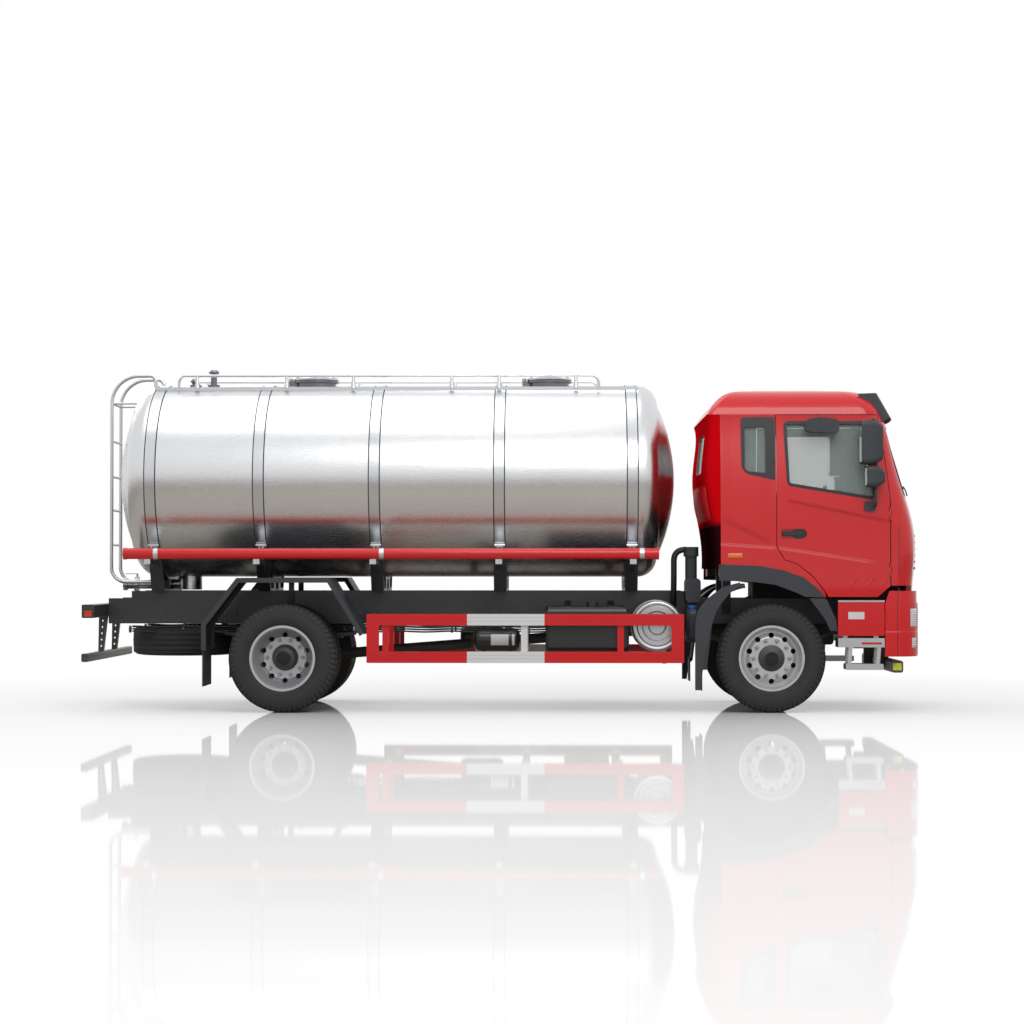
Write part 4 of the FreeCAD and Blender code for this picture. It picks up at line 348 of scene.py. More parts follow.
LINE_Y, CLIP_Z, CLIP_PITCH = -0.447, 0.752, 0.51
line_x = np.linspace(-3.55, 1.55, 103)
line_dip = 0.004 * np.cos(line_x * math.tau / CLIP_PITCH)
rail_lines = [tube(np.stack([line_x, np.full(103, LINE_Y), height + line_dip], axis=-1), radius, (0, 1, 0), 8)
              for height, radius in ((0.775, 0.010), (0.752, 0.008), (0.730, 0.008))]
nylon_tube = Finish("nylon_tube", Base_Color=colour(26, 27, 30), Roughness=0.38)
nylon_tube.set(Normal=nylon_tube.bump(nylon_tube.noise(120, 2), 0.0005))
piece("air_lines", both_sides(rail_lines), nylon_tube, "chassis")

CLIP_PROFILE = ((-0.009, 0.0), (-0.009, 0.034), (0.009, 0.034), (0.009, 0.0))
line_clips = [(lathe(CLIP_PROFILE, (place, LINE_Y, CLIP_Z), 12, "X"), False, True)
              for place in np.arange(-3.57, 1.6, CLIP_PITCH)]
piece("line_clips", both_sides(line_clips), bolt_steel, "chassis")


# Axles, engine and drive line: rough castings and forgings in black iron paint, dusty below.
# The knuckles turn on the front axle's kingpins, and the tie rod joins their arms.
cast_iron = Finish("cast_iron", Roughness=0.62, Metallic=0.2)
cast_iron.set(Base_Color=with_dust(cast_iron, colour(36, 37, 40), ROAD_DUST, 0.2, 1.2, 0.35),
              Normal=cast_iron.bump(cast_iron.noise(260, 3), 0.0012))
dress(cast_iron, "front_axle", "rear_axle", "engine_block", "propeller_shaft", "knuckle_left", "knuckle_right",
      "tie_rod")


# Tyres: moulded black rubber with four zigzag grooves round the tread and notched shoulders.
# They are seated on silver-painted pressed discs with ten hand holes, ten nuts and a dark hub.
FRONT_AXLE, REAR_AXLE, AXLE_HEIGHT = 2.46, -2.04, 0.5
TREAD_RADIUS, TREAD_HALF, TREAD_DROP = 0.5, 0.1075, 0.005
GROOVES, GROOVE_HALF, GROOVE_DEPTH = (0.026, 0.072), 0.005, 0.011
PITCHES, NOTCH_FROM, NOTCH_DEPTH = 60, 0.086, 0.010
SIDEWALL = ((0.118, 0.487), (0.1275, 0.466), (0.1335, 0.445), (0.1385, 0.415), (0.1395, 0.385), (0.137, 0.355),
            (0.129, 0.33), (0.118, 0.314), (0.1055, 0.304))
LINER = ((0.098, 0.309), (0.108, 0.34), (0.112, 0.40), (0.098, 0.455), (0.05, 0.475), (0.0, 0.477))


def tyre_ring(x, y):
    """A tyre: radius = tread - drop (w/half)^2, less the grooves' and notches' depth, turned about its axle."""
    groove_edges = np.ravel([(g - GROOVE_HALF - 0.002, g - GROOVE_HALF, g + GROOVE_HALF, g + GROOVE_HALF + 0.002)
                             for g in GROOVES])
    tread = np.concatenate([[0.0, 0.012], groove_edges, [NOTCH_FROM - 0.002, NOTCH_FROM, 0.099, TREAD_HALF]])
    crown = TREAD_RADIUS - TREAD_DROP * (tread / TREAD_HALF) ** 2
    half = np.concatenate([np.stack([tread, crown], axis=-1), SIDEWALL])
    inner = np.asarray(LINER)
    profile = np.concatenate([half[:0:-1] * (-1, 1), half, inner, inner[-2::-1] * (-1, 1)])
    width = profile[:, :1]
    outer = (np.arange(len(profile)) < 2 * len(half) - 1)[:, None]
    share = np.tile([0.0, 0.04, 0.24, 0.28], PITCHES)
    turn = (np.repeat(np.arange(PITCHES), 4) + share)[None, :] * (math.tau / PITCHES)
    notched = np.tile([0, 1, 1, 0], PITCHES)[None, :]
    size = np.abs(width)
    in_groove = sum((np.abs(size - g) <= GROOVE_HALF + 1e-6).astype(float) for g in GROOVES)
    shoulder = (size >= NOTCH_FROM) & (profile[:, 1:] > 0.46)
    rib = size < 0.015
    depth = outer * (in_groove * GROOVE_DEPTH + notched * (shoulder * NOTCH_DEPTH + rib * 0.005))
    radius = profile[:, 1:] - depth
    zigzag = 0.0045 * np.tile([-1, -1, 1, 1], PITCHES)[None, :]
    shifted = width + zigzag * (outer & (size < NOTCH_FROM) & (size > 0.001))
    points = np.stack([x + radius * np.sin(turn), y + shifted, AXLE_HEIGHT + radius * np.cos(turn)], axis=-1)
    return (points, True, True)


def from_axle(finish):
    """The distance from the nearer axle's centre line, in the side view."""
    x, z = finish.place("X"), finish.place("Z")
    front = x.above(0.2)
    along = x - (front * (FRONT_AXLE - REAR_AXLE) + REAR_AXLE)
    return along.distance(z - AXLE_HEIGHT)


tyre_rubber = Finish("tyre_rubber", Roughness=0.72)
reach = from_axle(tyre_rubber)
rings = reach.wave(0.012) * reach.between(0.325, 0.352) + reach.between(0.44, 0.446, 0.002) * 2
tyre_rubber.set(Base_Color=tyre_rubber.blend(tyre_rubber.noise(6, 4), colour(33, 34, 36), colour(48, 48, 49)),
                Normal=tyre_rubber.bump(rings + tyre_rubber.noise(220, 3) * 0.4, 0.0012))

wheel_silver = Finish("wheel_silver", Metallic=0.55)
hub_reach = from_axle(wheel_silver)
hub = hub_reach.below(0.122, 0.004)
cap = hub_reach.below(0.060, 0.004)
stain = wheel_silver.noise(9, 5, rough=0.7).above(0.55, 0.4)
wheel_silver.set(Base_Color=wheel_silver.blend(hub, wheel_silver.blend(stain * 0.25, colour(196, 198, 202),
                                                                       colour(150, 146, 140)),
                                               wheel_silver.blend(cap, colour(70, 72, 76), colour(34, 35, 38))),
                 Roughness=hub * 0.15 + 0.36, Normal=wheel_silver.bump(wheel_silver.noise(200, 2), 0.0004))

NUT_CIRCLE, NUT_RADIUS, NUTS = 0.168, 0.0165, 10
nut_profile = np.array([(0.0, 0.0), (0.0, 0.021), (0.005, 0.021), (0.005, NUT_RADIUS), (0.024, NUT_RADIUS),
                        (0.028, 0.012), (0.028, 0.009), (0.036, 0.009), (0.038, 0.006), (0.038, 0.0)])
nut_steel = Finish("nut_steel", Base_Color=colour(168, 170, 174), Roughness=0.32, Metallic=0.85)
nut_steel.set(Normal=nut_steel.bump(nut_steel.noise(260, 2), 0.0003))
WHEELS = (("front_left", FRONT_AXLE, 1, (1.02,), 1.092), ("front_right", FRONT_AXLE, -1, (1.02,), 1.092),
          ("rear_left", REAR_AXLE, 1, (1.095, 0.765), 0.944), ("rear_right", REAR_AXLE, -1, (1.095, 0.765), 0.944))
for wheel, axle_x, hand, tyre_centres, seat_y in WHEELS:
    body = "wheel_" + wheel
    piece("tyre_tread_" + wheel, [tyre_ring(axle_x, hand * centre) for centre in tyre_centres], tyre_rubber, body,
          replaces=("tyre_" + wheel,), sharp=50)
    dress(wheel_silver, "rim_" + wheel)
    nut_turn = np.arange(NUTS) * (math.tau / NUTS) + 0.31
    nut_centres = np.stack([axle_x + NUT_CIRCLE * np.sin(nut_turn), np.full(NUTS, hand * (seat_y - 0.001)),
                            AXLE_HEIGHT + NUT_CIRCLE * np.cos(nut_turn)], axis=-1)
    piece("wheel_nuts_" + wheel, [(lathe(nut_profile * (hand, 1), centre, 6), False, True) for centre in nut_centres],
          nut_steel, body)

spare_rubber = Finish("spare_rubber", Roughness=0.75)
SPARE_X = -3.11
spare_reach = (spare_rubber.place("X") - SPARE_X).distance(spare_rubber.place("Y"))
spare_tread = spare_reach.above(0.45) * spare_rubber.place("Z").wave(0.05)
spare_rubber.set(Base_Color=spare_rubber.blend(spare_reach.below(0.292), colour(36, 36, 38), colour(170, 172, 176)),
                 Normal=spare_rubber.bump(spare_tread + spare_rubber.noise(180, 3) * 0.4, 0.004))
dress(spare_rubber, "spare_wheel")


# Tank: a rolled stainless barrel with dished heads, in satin sheet with a faint brushed grain along its length.
# Strip bands clamp it to its cradle, each edged by a dark rubber bead.
def stainless(name, tone, rough, grain_depth):
    """Stainless steel: a stretched grain in the roughness and the normal, and a slow waviness of the sheet."""
    steel = Finish(name, Metallic=1.0)
    grain = steel.noise(14, 4, steel.stretched(0.6, 26, 26))
    cloud = steel.noise(1.7, 4)
    shade = tuple(part * 0.94 for part in tone[:3]) + (1,)
    steel.set(Base_Color=steel.blend(cloud, shade, tone), Roughness=grain * 0.10 + cloud * 0.06 + (rough - 0.08),
              Normal=steel.bump(steel.noise(2.2, 1), 0.003 * grain_depth, 0.3, steel.bump(grain, 0.0005)))
    return steel


TANK_REAR, TANK_FRONT, TANK_HEIGHT = -3.702, 1.613, 2.17
TANK_HALF_WIDTH, TANK_HALF_HEIGHT, KNUCKLE, DISH = 1.1, 0.92, 0.18, 0.17
BAND_PLACES, BAND_HALF = (-3.289, -2.281, -1.207, -0.049, 1.187), 0.05
tank_steel = stainless("tank_steel", colour(216, 217, 219), 0.27, 1.0)


def tank_ring(x, share, steps=192, grow=0.0):
    """Rings about the tank's axis: y = width share sin a, z = height share cos a, both grown by a little."""
    turn = np.arange(steps) * (math.tau / steps)
    x, share = np.asarray(x, dtype=float)[:, None], np.asarray(share, dtype=float)[:, None]
    y = (TANK_HALF_WIDTH * share + grow) * np.sin(turn)
    z = TANK_HEIGHT + (TANK_HALF_HEIGHT * share + grow) * np.cos(turn)
    return np.stack(np.broadcast_arrays(x, y, z), axis=-1)


crown = TANK_HALF_HEIGHT - KNUCKLE
dish_radius = (crown ** 2 + DISH ** 2) / (2 * DISH)
dish_up = np.linspace(0, crown, 15)
knuckle_turn = np.linspace(0, math.pi / 2, 13)[1:]
end_x = np.concatenate([dish_radius - np.sqrt(dish_radius ** 2 - dish_up ** 2),
                        DISH + KNUCKLE * (1 - np.cos(knuckle_turn))])
end_up = np.concatenate([dish_up, crown + KNUCKLE * np.sin(knuckle_turn)]) / TANK_HALF_HEIGHT
barrel_x = np.linspace(TANK_REAR + DISH + KNUCKLE, TANK_FRONT - DISH - KNUCKLE, 60)[1:-1]
tank_x = np.concatenate([TANK_REAR + end_x, barrel_x, TANK_FRONT - end_x[::-1]])
tank_share = np.concatenate([end_up, np.ones(58), end_up[::-1]])
piece("tank_barrel", [(tank_ring(tank_x, tank_share), False, True)], tank_steel, "chassis",
      replaces=("tank",), sharp=60)

bead_rubber = Finish("bead_rubber", Base_Color=colour(52, 52, 54), Roughness=0.6)
bead_rubber.set(Normal=bead_rubber.bump(bead_rubber.noise(160, 2), 0.0006))
bead_sheets = []
for place in BAND_PLACES:
    for edge in (place - BAND_HALF, place + BAND_HALF):
        low_x, high_x = edge - 0.006, edge + 0.006
        section = [tank_ring([spot], [1.0], grow=out)[0] for spot, out in
                   ((low_x, 0.0005), (low_x + 0.002, 0.0062), (high_x - 0.002, 0.0062), (high_x, 0.0005))]
        bead_sheets.append((np.stack(section), True, True))
piece("band_beads", bead_sheets, bead_rubber, "chassis")

bright_steel = stainless("bright_steel", colour(205, 207, 210), 0.24, 0.3)
dress(bright_steel, "tank_bands", "ladder", "tank_handrails", "rear_manhole_lid", "front_manhole_lid", "outlet_pipe")
dark_steel = stainless("dark_steel", colour(120, 122, 126), 0.3, 0.3)
dress(dark_steel, "manhole_necks")


# Red enamel: hose tubes, side guards, bumper, step panels and cab share one bright paint under a clear coat.
# The middle of each guard rail is masked off and painted white, and the tubes' straps are bare steel.
def enamel(name, low, high):
    """Paint with the faint orange peel that spraying leaves."""
    paint = Finish(name, Roughness=0.36, Specular_IOR_Level=0.35, Coat_Weight=0.55, Coat_Roughness=0.08)
    paint.set(Base_Color=paint.blend(paint.noise(0.9, 3), low, high), Normal=paint.bump(paint.noise(75, 2), 0.0003))
    return paint


RED_LOW, RED_HIGH = colour(204, 8, 20), colour(214, 12, 24)
red_enamel = enamel("red_enamel", RED_LOW, RED_HIGH)
dress(red_enamel, "step_panels")

BUMPER_SEAM_X, BUMPER_CREASE_Z = 3.600, 0.748
bumper_paint = enamel("bumper_paint", RED_LOW, RED_HIGH)
seam = bumper_paint.place("X").between(BUMPER_SEAM_X - 0.003, BUMPER_SEAM_X + 0.003)
fold = bumper_paint.place("Z").below(BUMPER_CREASE_Z, 0.014)
bumper_peel = bumper_paint.bump(bumper_paint.noise(75, 2), 0.0003)
bumper_paint.set(Base_Color=bumper_paint.blend(seam, RED_HIGH, colour(60, 8, 10)),
                 Normal=bumper_paint.bump(fold, 0.006, under=bumper_peel))
dress(bumper_paint, "bumper")

WHITE_FROM, WHITE_TO = -0.340, 0.371
guard_paint = enamel("guard_paint", RED_LOW, RED_HIGH)
white_part = guard_paint.place("X").between(WHITE_FROM, WHITE_TO, 0.002)
guard_paint.set(Base_Color=guard_paint.blend(white_part, RED_HIGH, colour(226, 227, 228)))
dress(guard_paint, "side_guards")

STRAP_FROM, STRAP_TO = 0.059, 0.101
tube_paint = enamel("tube_paint", RED_LOW, RED_HIGH)
along_tube = tube_paint.place("X")
first_strap, *other_straps = [along_tube.between(place + STRAP_FROM, place + STRAP_TO) for place in BAND_PLACES[::2]]
strapped = sum(other_straps, first_strap)
tube_paint.set(Base_Color=tube_paint.blend(strapped, RED_HIGH, colour(205, 207, 210)), Metallic=strapped * 0.9)
dress(tube_paint, "hose_tubes")


# Cab shell: pressed panels in the same enamel, with a grey moulded lining on their inner faces.
# Two soft creases run along the flank and on over the door, and the lower back is painted dark red as painted shade for
# the shadowed recess behind the cab.
CAB_MIDDLE = (2.85, 0.0, 1.9)
LINING = colour(150, 154, 154)


def faces_inward(paint):
    """1 where a wall's face looks at the cab's middle: its normal points against the line from there to the face."""
    from_middle = paint.node("VectorMath", {"operation": "SUBTRACT"}, i0=paint.place(), i1=CAB_MIDDLE)
    square = paint.node("TexCoord", out="Normal")
    return paint.node("VectorMath", {"operation": "DOT_PRODUCT"}, out="Value", i0=from_middle, i1=square).below(0, 0.05)


def crease_height(paint, x0, z0, x1, z1, width, rises):
    """A step across a sloping line: 0 to 1 over its width, which turns the light along the crease."""
    slope = (z1 - z0) / (x1 - x0)
    x = paint.place("X")
    over = paint.place("Z") - (x * slope + (z0 - slope * x0))
    step = over.above(0, width) if rises else over.below(0, width)
    return step * x.between(x0 + 0.04, x1 - 0.04, 0.08)


def shell_paint(name, base=None, creases=()):
    """Enamel outside and lining inside, with creases pressed in."""
    paint = enamel(name, RED_LOW, RED_HIGH)
    inside = faces_inward(paint)
    skin = base(paint) if base else paint.blend(paint.noise(0.9, 3), RED_LOW, RED_HIGH)
    paint.set(Base_Color=paint.blend(inside, skin, LINING), Roughness=inside * 0.4 + 0.36,
              Coat_Weight=inside * -0.55 + 0.55)
    if creases:
        height = sum((crease_height(paint, *crease) for crease in creases[1:]), crease_height(paint, *creases[0]))
        paint.set(Normal=paint.bump(height, 0.012, under=paint.bump(paint.noise(75, 2), 0.0003)))
    return paint


shell_red = shell_paint("shell_red")
dress(shell_red, "front_panel", "cab_roof")


def corner_groove(paint):
    """A dark groove down each front corner, beside the flap."""
    x, z = paint.place("X"), paint.place("Z")
    groove = x.between(3.617, 3.625) * z.between(1.244, 1.708)
    return paint.blend(groove, paint.blend(paint.noise(0.9, 3), RED_LOW, RED_HIGH), colour(84, 8, 12))


dress(shell_paint("corner_red", base=corner_groove), "cab_front_frame")
FLANK_CREASES = ((2.010, 1.790, 2.450, 1.560, 0.05, True), (1.900, 1.556, 2.540, 1.513, 0.03, False))
flank_red = shell_paint("flank_red", creases=FLANK_CREASES)
dress(flank_red, "cab_side_right", "cab_side_left")


def painted_shade_below(paint):
    """Painted shade: the lower back in a dark red that stands in for the shadowed recess there, with red above."""
    return paint.blend(paint.place("Z").above(1.74, 0.06), colour(44, 12, 16), RED_LOW)


back_red = shell_paint("back_red", base=painted_shade_below)
back_red.set(Specular_IOR_Level=0.0, Coat_Weight=0.0, Roughness=0.7)
dress(back_red, "cab_back_wall")


# Tanks and boxes on the rails: the fuel tank, air reservoirs and battery box in satin black,
# the urea tank in moulded plastic with its blue cap, and the exhaust box in a stamped bright cover.
dark_plastic = Finish("dark_plastic", Base_Color=colour(50, 54, 60), Roughness=0.55)
dark_plastic.set(Normal=dark_plastic.bump(dark_plastic.noise(420, 2), 0.0008))
dress(dark_plastic, "mudguards", "arch_trims", "sun_visor", "mirrors_right", "mirrors_left", "intake_stack")

urea_plastic = Finish("urea_plastic", Roughness=0.5)
urea_plastic.set(Base_Color=urea_plastic.blend(urea_plastic.place("Z").above(0.9465), colour(44, 46, 50),
                                               colour(36, 92, 170)),
                 Normal=urea_plastic.bump(urea_plastic.noise(420, 2), 0.0008))
dress(urea_plastic, "urea_tank")

black_paint = Finish("black_paint", Base_Color=colour(26, 28, 31), Roughness=0.36, Coat_Weight=0.3)
black_paint.set(Normal=black_paint.bump(black_paint.noise(120, 2), 0.0005))
dress(black_paint, "fuel_tank", "air_tanks", "battery_box", "cab_floor")

pressed_steel = stainless("pressed_steel", colour(190, 192, 196), 0.33, 1.0)
dress(pressed_steel, "exhaust_canister", "step_treads")

AIR_Y, AIR_Z, AIR_RADIUS = -0.72, 0.662, 0.108
plate_turn = np.linspace(math.radians(-118), math.radians(-62), 15)


def curved_plate(x0, x1, y, z, radius, turn, proud):
    """A label plate rolled to a cylinder: y = r sin a, z = r cos a, with a thin edge all round."""
    ring = [np.stack([np.full(len(turn), x), y + size * np.sin(turn), z + size * np.cos(turn)], axis=-1)
            for x, size in ((x0, radius - 0.002), (x0, radius + proud), (x1, radius + proud), (x1, radius - 0.002))]
    middle = np.stack(ring).mean(axis=0, keepdims=True)
    first_end, last_end = middle[:, :1].repeat(4, axis=0), middle[:, -1:].repeat(4, axis=0)
    return (np.concatenate([first_end, np.stack(ring), last_end], axis=1), True, False)


plate_white = Finish("plate_white", Base_Color=colour(214, 214, 212), Roughness=0.4)
plate_white.set(Normal=plate_white.bump(plate_white.noise(90, 2), 0.0004))
piece("reservoir_plate", [curved_plate(-0.13, 0.09, AIR_Y, AIR_Z, AIR_RADIUS, plate_turn, 0.0015)], plate_white,
      "chassis")

hose_path = rounded([(1.70, -0.64, 1.505), (1.585, -0.64, 1.505), (1.585, -0.64, 1.18), (1.585, -0.45, 0.90)],
                    (0, 0.11, 0.15, 0), 12)
hose_rubber = Finish("hose_rubber", Base_Color=colour(24, 25, 27), Roughness=0.5)
hose_rubber.set(Normal=hose_rubber.bump(hose_rubber.noise(90, 3), 0.001))
piece("breather_hose", [tube(hose_path, 0.028, (0, 1, 0), 16)], hose_rubber, "chassis")


# Cab glass: lightly tinted safety glass held in black rubber, with a black printed border round the quarter light.
# Each seal is a closed strip that follows its window's outline over the cab's curved skin.
clear_glass = Finish("clear_glass", Base_Color=colour(176, 192, 190), Roughness=0.03, Alpha=0.3)
dress(clear_glass, "cab_glass", "door_glass_right", "door_glass_left")

LEVEL_Z = np.array((1.03, 1.4, 1.7, 1.975, 2.33, 2.748))
LEVEL_HALF = np.array((1.2, 1.2, 1.2, 1.2, 1.168, 1.115))
LEVEL_FRONT = np.array((3.866, 3.884, 3.874, 3.806, 3.702, 3.577))
LEVEL_BACK = np.array((1.95, 1.95, 1.925, 1.875, 1.86, 1.868))
FRONT_BULGE = 5.0


def at_level(z, values):
    """A smooth curve through the levels: cubic between neighbours, with the slope there that its neighbours give."""
    slopes = np.gradient(values, LEVEL_Z)
    index = np.clip(np.searchsorted(LEVEL_Z, z) - 1, 0, len(LEVEL_Z) - 2)
    span = LEVEL_Z[index + 1] - LEVEL_Z[index]
    t = (z - LEVEL_Z[index]) / span
    ends = values[index] * (1 + 2 * t) * (1 - t) ** 2 + values[index + 1] * t * t * (3 - 2 * t)
    return ends + span * (slopes[index] * t * (1 - t) ** 2 - slopes[index + 1] * t * t * (1 - t))


def flank(x, z, out):
    """The cab's right side: y falls away from its widest as the levels narrow upwards."""
    return np.stack([x, -(at_level(z, LEVEL_HALF) + out), z], axis=-1)


def face(y, z, out):
    """The cab's front: x from the level's reach, less the bow of a 5 m arc across the width."""
    return np.stack([at_level(z, LEVEL_FRONT) - FRONT_BULGE + np.sqrt(FRONT_BULGE ** 2 - y * y) + out, y, z], axis=-1)


def strip_round(skin, outer, inner, proud, sunk):
    """A closed strip between two outlines of as many points, standing a little proud of a skin and sunk into it."""
    corners = [skin(outer[:, 0], outer[:, 1], -sunk), skin(outer[:, 0], outer[:, 1], proud),
               skin(inner[:, 0], inner[:, 1], proud), skin(inner[:, 0], inner[:, 1], -sunk)]
    return (np.stack(corners, axis=1), True, True)


def grown(outline, by):
    """An outline moved outwards by a distance, each point square to its neighbours' line."""
    step = np.roll(outline, -1, axis=0) - np.roll(outline, 1, axis=0)
    square = np.stack([step[:, 1], -step[:, 0]], axis=-1)
    square /= np.maximum(np.linalg.norm(square, axis=1, keepdims=True), 1e-9)
    centre = outline.mean(axis=0)
    sign = np.sign(((outline - centre) * square).sum(axis=1, keepdims=True))
    return outline + square * sign * by


def along_edges(outline, steps):
    """More points on each run of an outline, so that a strip can bend with the skin."""
    share = np.arange(steps)[None, :, None] / steps
    return (outline[:, None] * (1 - share) + np.roll(outline, -1, axis=0)[:, None] * share).reshape(-1, 2)


seal_rubber = Finish("seal_rubber", Base_Color=colour(20, 21, 23), Roughness=0.45)
seal_rubber.set(Normal=seal_rubber.bump(seal_rubber.noise(200, 2), 0.0005))
DOOR_WINDOW = ((2.594, 2.664), (2.618, 2.106), (3.394, 1.978), (3.300, 2.664))
door_window = along_edges(rounded(DOOR_WINDOW, 0.03, 6, closed=True), 3)
door_seal = [strip_round(flank, grown(door_window, 0.022), grown(door_window, -0.006), 0.004, 0.012)]
piece("window_seal_right", door_seal, seal_rubber, "door_right")
piece("window_seal_left", [(door_seal[0][0] * (1, -1, 1), True, True)], seal_rubber, "door_left")

QUARTER_HOLE = ((2.213, 2.630), (2.405, 2.630), (2.405, 2.205), (2.213, 2.221))
QUARTER_BORDER = ((2.181, 2.722), (2.492, 2.722), (2.492, 2.138), (2.181, 2.205))
quarter_inner = along_edges(rounded(QUARTER_HOLE, (0.02, 0.02, 0.02, 0.05), 6, closed=True), 3)
quarter_outer = along_edges(rounded(QUARTER_BORDER, (0.03, 0.01, 0.01, 0.09), 6, closed=True), 3)
SCREEN_HOLE = ((-1.01, 2.03), (1.01, 2.03), (1.01, 2.64), (-1.01, 2.64))
screen_inner = along_edges(rounded(SCREEN_HOLE, 0.06, 6, closed=True), 4)
piece("cab_seals", both_sides([strip_round(flank, quarter_outer, quarter_inner, 0.005, 0.012)])
      + [strip_round(face, grown(screen_inner, 0.03), grown(screen_inner, -0.012), 0.005, 0.012)],
      seal_rubber, "cab")


# Doors: the same enamel as the cab, with a black pull handle in its recess and three small marks pressed in low down.
# Each hangs on two hinges at its front edge, and an amber lens on the flank behind it marks the cab's side.
DOOR_CREASES = ((2.600, 1.950, 3.545, 1.755, 0.04, True), (2.480, 1.522, 3.420, 1.380, 0.03, False))


def handle_black(paint):
    """Black on the pull handle and on the oval finger hollow behind it, near the door's rear edge."""
    x, y, z = (paint.place(axis) for axis in "XYZ")
    bar = x.between(2.548, 2.765) * z.between(1.622, 1.668)
    across, up = (x - 2.705) * (1 / 0.075), (z - 1.643) * (1 / 0.047)
    hollow = (across * across + up * up).below(1.0, 0.1)
    at_handle = bar.maths("MAXIMUM", bar, hollow) * (y * y).above(1.37)
    return paint.blend(at_handle, paint.blend(paint.noise(0.9, 3), RED_LOW, RED_HIGH), colour(24, 24, 26))


door_red = shell_paint("door_red", base=handle_black, creases=DOOR_CREASES)
MARK_Z, MARK_RADIUS = 1.259, 0.085
MARK_HALF = 0.006


def pressed_mark(x):
    """A quarter ring below and in front of its centre."""
    across, down = door_red.place("X") - x, door_red.place("Z") - MARK_Z
    ring = across.distance(down).between(MARK_RADIUS - MARK_HALF, MARK_RADIUS + MARK_HALF, MARK_HALF)
    return ring * across.above(0.01, 0.02) * down.below(0, 0.02)


marks = pressed_mark(3.151) + pressed_mark(3.299) + pressed_mark(3.441)
pressed = door_red.shader.inputs["Normal"].links[0].from_socket
door_red.set(Normal=door_red.bump(marks, 0.004, under=pressed))
dress(door_red, "door_right", "door_left")

marker_amber = Finish("marker_amber", Base_Color=colour(236, 120, 24), Roughness=0.15, Coat_Weight=0.6)
marker_amber.set(Normal=marker_amber.bump(marker_amber.place("X").wave(0.012), 0.0006))


LENS_SUNK = 0.002


def lens(u0, u1, v0, v1, skin, proud, rows=13, columns=25):
    """A cushion-shaped lens: height = proud sqrt((1 - u^4)(1 - v^4)) over its rectangle, on a flat back."""
    u, v = np.meshgrid(np.linspace(-1, 1, columns), np.linspace(-1, 1, rows))
    height = proud * ((1 - u ** 4) * (1 - v ** 4)) ** 0.5
    across, up = (u0 + u1) / 2 + u * (u1 - u0) / 2, (v0 + v1) / 2 + v * (v1 - v0) / 2
    front, rear = skin(across, up, height), skin(across, up, np.full_like(height, -LENS_SUNK))
    return [(front, False, False), (rear[::-1], False, False)]


piece("flank_markers", both_sides(lens(2.056, 2.189, 1.421, 1.467, flank, 0.012)), marker_amber, "cab")

RIB_STEPS = 15
rib_z = np.linspace(1.78, 2.13, RIB_STEPS)
rib_back = at_level(rib_z, LEVEL_BACK) + 0.006
rib_radius = 0.020 * np.sin(np.linspace(0.25, 2.9, RIB_STEPS)) ** 0.4
ribs = [tube(np.stack([rib_back, np.full(RIB_STEPS, y), rib_z], axis=-1), rib_radius, (0, 1, 0), 10)
        for y in np.linspace(-0.98, 0.98, 15)]
rib_red = enamel("rib_red", RED_LOW, RED_HIGH)
piece("back_ribs", ribs, rib_red, "cab")


# Inside the cab: woven covers over the foam of the seats, and grained moulding on the dashboard and wheel.
# Seats are bolted to the floor, and the dashboard spans the cab under the screen.
cabin_cloth = Finish("cabin_cloth", Roughness=0.85)
weave = cabin_cloth.place("Z").wave(0.006) * cabin_cloth.place("X").wave(0.006)
cabin_cloth.set(Base_Color=cabin_cloth.blend(cabin_cloth.noise(30, 3), colour(74, 76, 80), colour(92, 94, 98)),
                Normal=cabin_cloth.bump(weave, 0.0008))
dress(cabin_cloth, "seats")
cabin_plastic = Finish("cabin_plastic", Base_Color=colour(104, 108, 112), Roughness=0.6)
cabin_plastic.set(Normal=cabin_plastic.bump(cabin_plastic.noise(350, 2), 0.0006))
dress(cabin_plastic, "dashboard")


# Mirror glass, wipers and front grille: silvered panes clipped into the housings on the doors,
# two wipers parked along the screen's lower edge, and black slats let into the flap.
mirror_glass = Finish("mirror_glass", Base_Color=colour(214, 218, 222), Metallic=1.0)
mirror_glass.set(Roughness=mirror_glass.noise(4, 2) * 0.02 + 0.02)


def rear_facing(x):
    """A flat skin across the truck that faces backwards."""
    def skin(y, z, out):
        return np.stack([x - out, y, z], axis=-1)
    return skin


PANE_Y = (-1.408, -1.247)
for hand, label in ((1, "right"), (-1, "left")):
    main_pane = lens(*PANE_Y, 2.30, 2.653, rear_facing(3.257), 0.002)
    wide_pane = lens(*PANE_Y, 2.088, 2.243, rear_facing(3.306), 0.002)
    panes = [(sheet[0] * (1, hand, 1), *sheet[1:]) for sheet in main_pane + wide_pane]
    piece("mirror_glass_" + label, panes, mirror_glass, "door_" + label)

wiper_black = Finish("wiper_black", Base_Color=colour(20, 20, 22), Roughness=0.5)
wiper_black.set(Normal=wiper_black.bump(wiper_black.noise(150, 2), 0.0004))
BLADE_Z, ARM_FOOT_Z, BLADE_LENGTH = 2.085, 2.008, 0.72
wiper_sheets = []
for park in (-0.86, 0.06):
    blade_y = np.linspace(park, park + BLADE_LENGTH, 25)
    wiper_sheets.append(tube(face(blade_y, np.full(25, BLADE_Z), 0.006), 0.008, (0, 0, 1), 8))
    arm_y = np.linspace(park + BLADE_LENGTH / 2, park + 0.04, 15)
    wiper_sheets.append(tube(face(arm_y, np.linspace(BLADE_Z, ARM_FOOT_Z, 15), 0.018), 0.007, (0, 0, 1), 8))
piece("wipers", wiper_sheets, wiper_black, "cab")

slat_y = np.linspace(-0.78, 0.78, 41)
slats = [tube(face(slat_y, np.full(41, height), -0.005), 0.012, (0, 0, 1), 10)
         for height in np.arange(1.33, 1.64, 0.06)]
piece("front_grille", slats, wiper_black, "front_panel")


